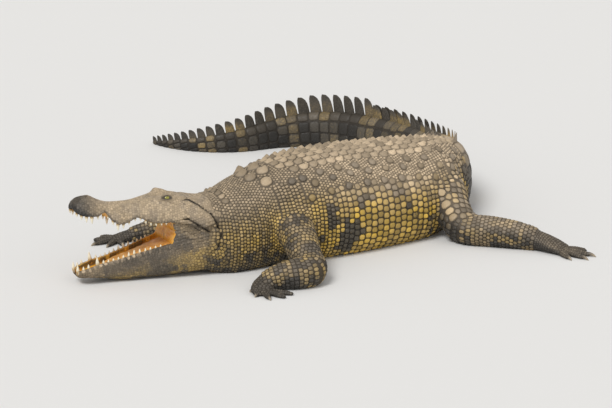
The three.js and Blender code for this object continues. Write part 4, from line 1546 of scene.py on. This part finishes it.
def teeth():
    pieces = []
    for name, rows, table, pitch, direction, inset, rise in (
        ("teeth_upper", UPPER_TEETH, SKULL, UPPER_PITCH, -1, 1, 1),
        ("teeth_lower", LOWER_TEETH, MANDIBLE, LOWER_PITCH, 1, 0.96, 0),
    ):
        tubes = []
        for along, length in rows:
            half, edge = numbers_at(table, along)[:2]
            for side in (1, -1):
                tubes.append(tooth(along, length, side, half * inset - 6, edge + rise, direction, pitch))
        piece = joined_tubes(name, tubes)
        set_marks(piece, rise=np.tile(up_tube(TOOTH_STEPS), len(tubes)))
        pieces.append(piece)
    return pieces


def claws():
    """The curved horn claws of the three inner toes of each foot."""
    pieces = []
    for leg in LEGS:
        tubes = []
        for tip in leg["toes"][:3]:
            horn = Limb(toe_joints(leg, tip, CLAW_SHAPE), 1, 4)
            rings = [oval(*horn.ring(n), circle(12)) for n in range(len(horn.centers))]
            for ring in rings:
                ring[:, 2] = np.maximum(ring[:, 2], 0.2)
            tubes.append(tube(rings))
        piece = joined_tubes("claws_" + leg["name"], tubes)
        set_marks(piece, rise=np.tile(up_tube(np.linspace(0, 1, len(rings))), len(tubes)))
        pieces.append(piece)
    return pieces


FIN_STEPS = [0.0, 0.12, 0.3, 0.5, 0.7, 0.86, 0.96, 1.0]  # shares of a crest fin's height


def fin(station, out, height, length):
    """A crest scute: thin, broad at its foot, leaning back to a hooked tip."""
    top = numbers_at(GIRTH, station)[1] - COAT
    c, s = np.cos(circle(12)), np.sin(circle(12))
    rings = []
    for t in FIN_STEPS:
        front = -0.5 + 0.42 * t ** 1.3 + 0.36 * t ** 9
        rear = 0.5 + 0.2 * t - 0.12 * t ** 9
        thick = mix(5.2, 1.3, t ** 0.7) * (1 if t < 1 else 0.5)
        back = length * mix(front, rear, 0.5 - 0.5 * c)
        side = thick * np.sign(s) * np.abs(s) ** 0.8
        rings.append(beside(station, 1, back, out + side, top - 10 + (height + 10) * t))
    return tube(rings)


def crest():
    """Two rows of scutes that draw together, then a single row, as one joined piece."""
    tubes, spots = [], []
    for station in WHORLS:
        rise = (station - CREST_START) / (CREST_JOIN - CREST_START)
        left = (TAIL_TIP - station) / (TAIL_TIP - CREST_JOIN)
        apart = 0.36 * numbers_at(GIRTH, station)[0] * (1.25 - rise)
        height = mix(10, 72, min(1, 1.35 * left) ** 0.8) if rise > 1 else mix(14, 50, rise)
        for out in [0] if rise > 1 else [apart, -apart]:
            tubes.append(fin(station, out, height, 0.98 * whorl_pitch(station)))
            spots.append((station, out or 0.1))
    piece = joined_tubes("crest", tubes)
    shares = up_tube(FIN_STEPS)
    stations, outs = np.repeat(np.array(spots, float), len(shares), axis=0).T
    shares = np.tile(shares, len(tubes))
    root = beside(stations, 1, 0, outs, row_at(GIRTH, stations)[1] - 20)
    up = np.tile([0.0, 0.0, 0.3], (len(root), 1))
    dark, yellow, dust = markings(root, up, stations, outs, np.full(len(root), BODY))
    dark = np.clip(dark + 0.5 * step(0.55, 1, shares), 0, 1)
    set_marks(piece, dark=dark, yellow=yellow, dust=dust * 0.6, tone=0 * shares, rim=0.6 * (shares < 0.1))
    spot = np.stack([stations / TAIL_TIP, 0.5 + 0.1 * np.sign(outs)], axis=1)
    set_patches(piece, spot + PATCH * np.stack([shares, 1 - shares], axis=1))
    return piece


def tongue():
    """The flat tongue, fixed along the floor of the mouth."""
    rings = []
    c, s = np.cos(circle(32)), np.sin(circle(32))
    for along in np.linspace(TONGUE["from"] - 6, TONGUE["to"], 60):
        half, rim = numbers_at(MANDIBLE, along)[:2]
        tip = np.clip((TONGUE["to"] - along) / 60, 0, 1) ** 0.5
        out = (half * 0.88 - 14) * (0.12 + 0.8 * tip) * np.sign(c) * np.abs(c) ** 0.8
        relief = 0.8 * np.sin(along / 5.5 + out / 9) - 3.5 * bell(out, 5)
        rise = TONGUE["rise"] * (0.25 + 0.7 * tip)
        up = rim - 23 + np.maximum(s, 0) ** 0.7 * rise + relief * (s > 0)
        rings.append(jaw_point(along, out, up, LOWER_PITCH))
    return joined_tubes("tongue_pad", [tube(rings)])


def eyeball(side):
    """An eyeball that looks along the gaze, marked with places ahead and above its middle."""
    ahead, above, gaze = [np.array(v) * (1, side, 1) for v in (LID_AHEAD, LID_UP, GAZE)]
    center = np.array([EYE["along"], side * EYE["out"], EYE["up"]])
    turn = circle(48)[:, None]
    rings, marks = [], []
    for polar in np.linspace(0.02, pi - 0.02, 40):
        mark = np.hstack([sin(polar) * np.cos(turn), sin(polar) * np.sin(turn), cos(polar) + 0 * turn])
        bulge = EYE["radius"] + 0.7 * bell(polar, 0.6)
        spot = center + bulge * (mark @ np.array([ahead, above, gaze]))
        rings.append(jaw_point(*spot.T, UPPER_PITCH))
        marks.append(mark)
    piece = joined_tubes("eyeball_left" if side > 0 else "eyeball_right", [tube(rings)])
    ahead, above, deep = np.vstack([*marks, [[0, 0, 1], [0, 0, -1]]]).T
    set_marks(piece, ahead=ahead, above=above, deep=deep)
    return piece


# ---- Materials ----
def color(red, green, blue):
    """A colour written as it shows on a screen, from 0 to 255."""
    parts = [c / 255 for c in (red, green, blue)]
    return [c / 12.92 if c <= 0.04045 else ((c + 0.055) / 1.055) ** 2.4 for c in parts] + [1]


class Nodes:
    """A material's nodes, each made and joined in one call."""

    def __init__(self, name):
        self.material = bpy.data.materials.new(name)
        self.material.use_nodes = True
        self.tree = self.material.node_tree
        self.shader = self.tree.nodes["Principled BSDF"]

    def add(self, kind, inputs=(), **settings):
        node = self.tree.nodes.new("ShaderNode" + kind)
        for key, value in settings.items():
            setattr(node, key, value)
        for key, value in dict(inputs).items():
            self.put(node.inputs[key], value)
        return node

    def put(self, socket, value):
        if isinstance(value, bpy.types.NodeSocket):
            self.tree.links.new(value, socket)
        else:
            socket.default_value = value

    def mark(self, name):
        return self.add("Attribute", attribute_name=name).outputs["Fac"]

    def blend(self, a, b, factor, mode="MIX"):
        node = self.add("Mix", data_type="RGBA", blend_type=mode, clamp_factor=True)
        for socket, value in ((node.inputs[0], factor), (node.inputs[6], a), (node.inputs[7], b)):
            self.put(socket, value)
        return node.outputs[2]

    def math(self, operation, *values):
        node = self.add("Math", operation=operation)
        for socket, value in zip(node.inputs, values):
            self.put(socket, value)
        return node.outputs[0]

    def product(self, a, b):
        return self.math("MULTIPLY", a, b)

    def varied(self, value, grain, amount):
        """A value raised and lowered by a grain that lies about one half."""
        return self.math("ADD", value, self.product(self.math("SUBTRACT", grain, 0.5), amount))

    def remap(self, value, low, high, to_low=0.0, to_high=1.0):
        node = self.add("MapRange", {0: value, 1: low, 2: high, 3: to_low, 4: to_high},
                        interpolation_type="SMOOTHSTEP")
        return node.outputs[0]

    def lay(self, base, tint, value, low, high, most=1.0):
        """The base with a tint over it, more and more as a value goes from low to high."""
        return self.blend(base, tint, self.remap(value, low, high, 0.0, most))

    def gloss(self, grain, low, high):
        """Roughness from low to high by a grain that lies about one half."""
        return self.remap(grain, 0.3, 0.7, low, high)

    def place(self):
        return self.add("TexCoord").outputs["Object"]

    def noise(self, scale, detail=3.0):
        inputs = {"Vector": self.place(), "Scale": scale, "Detail": detail, "Roughness": 0.55}
        return self.add("TexNoise", inputs).outputs["Fac"]

    def pits(self, scale):
        node = self.add("TexVoronoi", {"Vector": self.place(), "Scale": scale}, feature="F1")
        return node.outputs[0]

    def bump(self, height, distance, strength, below=None):
        node = self.add("Bump", {"Height": height, "Distance": distance, "Strength": strength})
        if below:
            self.put(node.inputs["Normal"], below)
        return node.outputs["Normal"]

    def finish(self, base, roughness, normal=None):
        self.put(self.shader.inputs["Base Color"], base)
        self.put(self.shader.inputs["Roughness"], roughness)
        if normal:
            self.put(self.shader.inputs["Normal"], normal)
        return self.material


BROWN = color(130, 114, 90)
YELLOW = color(204, 167, 62)
DARK = color(60, 58, 55)
BLACK = color(34, 32, 29)
DUST = color(206, 184, 154)
# dark of the seams between scales, also used as the colour of painted shade in creases and in the mouth
GROOVE_AND_SHADE = color(40, 34, 26)
FLESH = color(224, 160, 46)
GUM = color(240, 202, 98)
MUD = color(132, 84, 34)
TOOTH_ROOT = color(176, 142, 84)
IVORY = color(240, 232, 208)
TARTAR = color(206, 186, 140)
HORN = color(66, 58, 50)
HORN_TIP = color(176, 160, 136)
HORN_STREAK = color(46, 41, 36)
TONGUE_FLESH = color(196, 140, 62)
TONGUE_PALE = color(226, 176, 104)
TONGUE_MUD = color(128, 82, 40)
IRIS = color(178, 168, 48)
IRIS_EDGE = color(96, 94, 30)
IRIS_FLECK = color(70, 62, 22)
EYE_RIM = color(44, 36, 26)
PUPIL = color(8, 8, 6)


def hide_colors(n):
    """The hide's colour before grooves, brown, yellow, dark and dusty by its marks, and its grain."""
    fine, coarse = n.noise(150), n.noise(34)
    base = n.blend(BROWN, YELLOW, n.product(n.mark("yellow"), n.remap(coarse, 0.25, 0.6, 0.6, 1.0)))
    dark = n.varied(n.mark("dark"), fine, 0.7)
    base = n.lay(base, DARK, dark, 0.15, 0.8, 0.94)
    base = n.lay(base, BLACK, dark, 0.8, 1.15, 0.9)
    dust = n.product(n.mark("dust"), n.remap(fine, 0.25, 0.7, 0.68, 1.0))
    return n.blend(base, DUST, n.product(dust, 0.85)), fine


def scale_material():
    n = Nodes("scales")
    base, fine = hide_colors(n)
    tone = n.remap(n.mark("tone"), -2.0, 2.0, 0.66, 1.34)
    base = n.blend(base, n.add("CombineColor", {0: tone, 1: tone, 2: tone}).outputs[0], 1.0, "MULTIPLY")
    groove = n.blend(GROOVE_AND_SHADE, DUST, n.product(n.mark("dust"), 0.32))
    base = n.lay(base, groove, n.mark("rim"), 0.74, 1.0, 0.85)
    normal = n.bump(fine, 0.0012, 0.6, n.bump(n.pits(260), 0.0006, 0.5))
    return n.finish(base, n.gloss(fine, 0.48, 0.76), normal)


def skin_material():
    """The skin between the scales, dark in its seams, with painted shade in its creases and in the mouth,
    and the mouth's wet lining.
    """
    n = Nodes("hide")
    base, fine = hide_colors(n)
    seam = n.blend(GROOVE_AND_SHADE, DUST, n.product(n.mark("dust"), 0.3))
    base = n.blend(base, seam, n.math("SUBTRACT", 0.9, n.product(n.mark("head"), 0.5)))
    lining = n.lay(FLESH, GUM, n.noise(26, 4.0), 0.45, 0.75, 0.8)
    lining = n.lay(lining, MUD, n.noise(48, 5.0), 0.5, 0.72, 0.6)
    mouth = n.mark("mouth")
    base = n.lay(base, lining, n.varied(mouth, n.noise(120), 0.3), 0.35, 0.65)
    # painted shade: the creases and the shaded inside of the mouth darkened to the groove colour
    base = n.lay(base, GROOVE_AND_SHADE, n.mark("crease"), 0.1, 1.1)
    normal = n.bump(fine, 0.0011, 0.55, n.bump(n.pits(170), 0.0008, 0.5))
    rough = n.math("SUBTRACT", n.gloss(fine, 0.58, 0.8), n.product(mouth, 0.25))
    return n.finish(base, rough, normal)


def tooth_material():
    n = Nodes("teeth")
    stain = n.varied(n.mark("rise"), n.noise(220), 0.5)
    base = n.lay(TOOTH_ROOT, IVORY, stain, -0.05, 0.45)
    streak = n.noise(420, 4.0)
    base = n.lay(base, TARTAR, streak, 0.5, 0.75, 0.5)
    return n.finish(base, n.gloss(streak, 0.22, 0.4), n.bump(streak, 0.0003, 0.5))


def claw_material():
    n = Nodes("claws")
    grain = n.noise(300, 4.0)
    base = n.lay(HORN, HORN_TIP, n.mark("rise"), 0.15, 0.9)
    base = n.lay(base, HORN_STREAK, grain, 0.45, 0.7, 0.5)
    return n.finish(base, n.gloss(grain, 0.3, 0.5), n.bump(grain, 0.0004, 0.6))


def tongue_material():
    n = Nodes("tongue")
    grain = n.noise(160, 4.0)
    base = n.lay(TONGUE_FLESH, TONGUE_PALE, n.noise(40), 0.35, 0.7)
    base = n.lay(base, TONGUE_MUD, grain, 0.52, 0.78, 0.6)
    return n.finish(base, n.gloss(grain, 0.35, 0.55), n.bump(n.pits(240), 0.0008, 0.7))


def eye_material():
    """A slit pupil in a yellow-green iris, under a wet coat."""
    n = Nodes("eyes")
    ahead, above = n.mark("ahead"), n.mark("above")
    reach = n.math("SQRT", n.math("ADD", n.product(ahead, ahead), n.product(above, above)))
    flecks = n.noise(900, 5.0)
    iris = n.lay(IRIS, IRIS_EDGE, reach, 0.12, 0.62)
    iris = n.lay(iris, IRIS_FLECK, flecks, 0.5, 0.72, 0.7)
    around = n.lay(iris, EYE_RIM, reach, 0.6, 0.68)
    narrow = n.remap(n.math("ABSOLUTE", above), 0.0, 0.42, 0.08, 0.02)
    pupil = n.remap(n.math("DIVIDE", n.math("ABSOLUTE", ahead), narrow), 0.8, 1.15, 1.0, 0.0)
    base = n.blend(around, PUPIL, pupil)
    n.shader.inputs["Coat Weight"].default_value = 1.0
    n.shader.inputs["Coat Roughness"].default_value = 0.04
    return n.finish(base, n.gloss(flecks, 0.18, 0.3))


# ---- The skin's marks ----
def skin_regions(points, station, out):
    """The regions of the hide at points: a leg's, a foot's or else the body's."""
    owner = np.full(len(points), BODY)
    for parts, webs in LEG_FLESH:
        for n, limb in enumerate(parts + webs):
            near = within(limb, points)
            if len(near):
                body = body_field(station[near], out[near], points[near][:, 2])
                on_limb = (np.abs(limb.field(points[near])) < 14) & (body > 6)
                region = np.maximum(owner[near], LEG if n < 2 else FOOT)
                owner[near] = np.where(on_limb, region, owner[near])
    return owner


def mark_skin(skin, points, field):
    station, out = spine_coords(points[:, 0], points[:, 1])
    normal = field.normal(points)[0]
    dark, yellow, dust = markings(points, normal, station, out, skin_regions(points, station, out))
    near = near_head(station, out)
    head = head_marks(points, normal)[0] * near
    mouth = np.where(near, mouth_lining(points, normal), 0)
    # painted shade inside the mouth, laid on together with the creases' painted shade
    painted_mouth_shade = mouth * mouth_shade(points, normal)
    crease = np.where(near, np.maximum(creased(*head_coords(points, 0))[1], painted_mouth_shade), 0)
    set_marks(skin, dark=dark, yellow=yellow, dust=dust, head=head, mouth=mouth, crease=crease)


# ---- The studio and the build ----
FLOOR_REACH = 20000  # from the middle of the floor to its edges
FLOOR_COLOR = (0.78, 0.77, 0.75, 1)
SKY_STRENGTH = 0.5
# Soft distant lamps: [name, direction toward it, spread in degrees, strength].
SUNS = [("key", (-0.45, -0.75, 1.1), 24, 1.9), ("fill", (0.9, -0.8, 0.6), 60, 0.35)]
# The camera, in metres.
CAMERA_DISTANCE = 10
CAMERA_HEIGHT = radians(18)  # angle above the level
FRAME_WIDTH = 2.234  # of the view at the target
TARGET = (0.4419, 0.28238)  # the floor beside the left flank, as shares of the animal's box
AIM_ABOVE = 0.168  # the camera aims this far above the target, square to the line of sight


def studio():
    """A pale floor, an even white sky and soft lamps."""
    corners = [[x * FLOOR_REACH, y * FLOOR_REACH, 0] for x, y in ((-1, -1), (1, -1), (1, 1), (-1, 1))]
    floor = mesh_object("floor", corners, [[0, 1, 2, 3]])
    pale = bpy.data.materials.new("floor")
    pale.use_nodes = True
    shader = pale.node_tree.nodes["Principled BSDF"]
    shader.inputs["Base Color"].default_value = FLOOR_COLOR
    shader.inputs["Roughness"].default_value = 0.9
    floor.data.materials.append(pale)
    world = bpy.data.worlds.new("studio")
    bpy.context.scene.world = world
    world.use_nodes = True
    sky = world.node_tree.nodes["Background"]
    sky.inputs["Color"].default_value = (1, 1, 1, 1)
    sky.inputs["Strength"].default_value = SKY_STRENGTH
    for name, toward, spread, power in SUNS:
        lamp = bpy.data.lights.new(name, "SUN")
        lamp.angle = radians(spread)
        lamp.energy = power
        linked(name, lamp).rotation_euler = (-Vector(toward)).to_track_quat("-Z", "Y").to_euler()


def add_camera():
    camera = bpy.data.cameras.new("camera")
    holder = linked("camera", camera)
    low, high = cad_box
    target = Vector((mix(low[0], high[0], TARGET[0]), mix(low[1], high[1], TARGET[1]), 0))
    toward = Vector((0, -cos(CAMERA_HEIGHT), sin(CAMERA_HEIGHT)))
    holder.location = target + CAMERA_DISTANCE * toward
    lift = Vector((0, sin(CAMERA_HEIGHT), cos(CAMERA_HEIGHT))) * AIM_ABOVE
    holder.rotation_euler = (target + lift - holder.location).to_track_quat("-Z", "Y").to_euler()
    camera.sensor_width = 36
    camera.lens = camera.sensor_width * CAMERA_DISTANCE / FRAME_WIDTH
    camera.clip_end = 100
    bpy.context.scene.camera = holder


def dress(piece, material):
    piece.data.materials.append(material)
    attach(piece, "root")


def build():
    bpy.context.scene.view_settings.view_transform = "Standard"
    add_camera()
    studio()
    field = Field(*flesh_grid())
    points, faces = build_skin(field)
    skin = mesh_object("skin", points, faces)
    mark_skin(skin, points, field)
    dress(skin, skin_material())
    scales = scale_material()
    surface = Surface(points, faces, field)
    for piece in coat_pieces(build_coat(field, surface)) + [crest()]:
        dress(piece, scales)
    ivory, horn, wet = tooth_material(), claw_material(), eye_material()
    for piece in teeth():
        dress(piece, ivory)
    for piece in claws():
        dress(piece, horn)
    pad = tongue()
    dress(pad, tongue_material())
    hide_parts("tongue")
    for side, node in ((1, "eye_left"), (-1, "eye_right")):
        ball = eyeball(side)
        dress(ball, wet)
        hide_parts(node)
    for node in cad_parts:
        if node not in ("tongue", "eye_left", "eye_right"):
            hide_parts(node)


build()
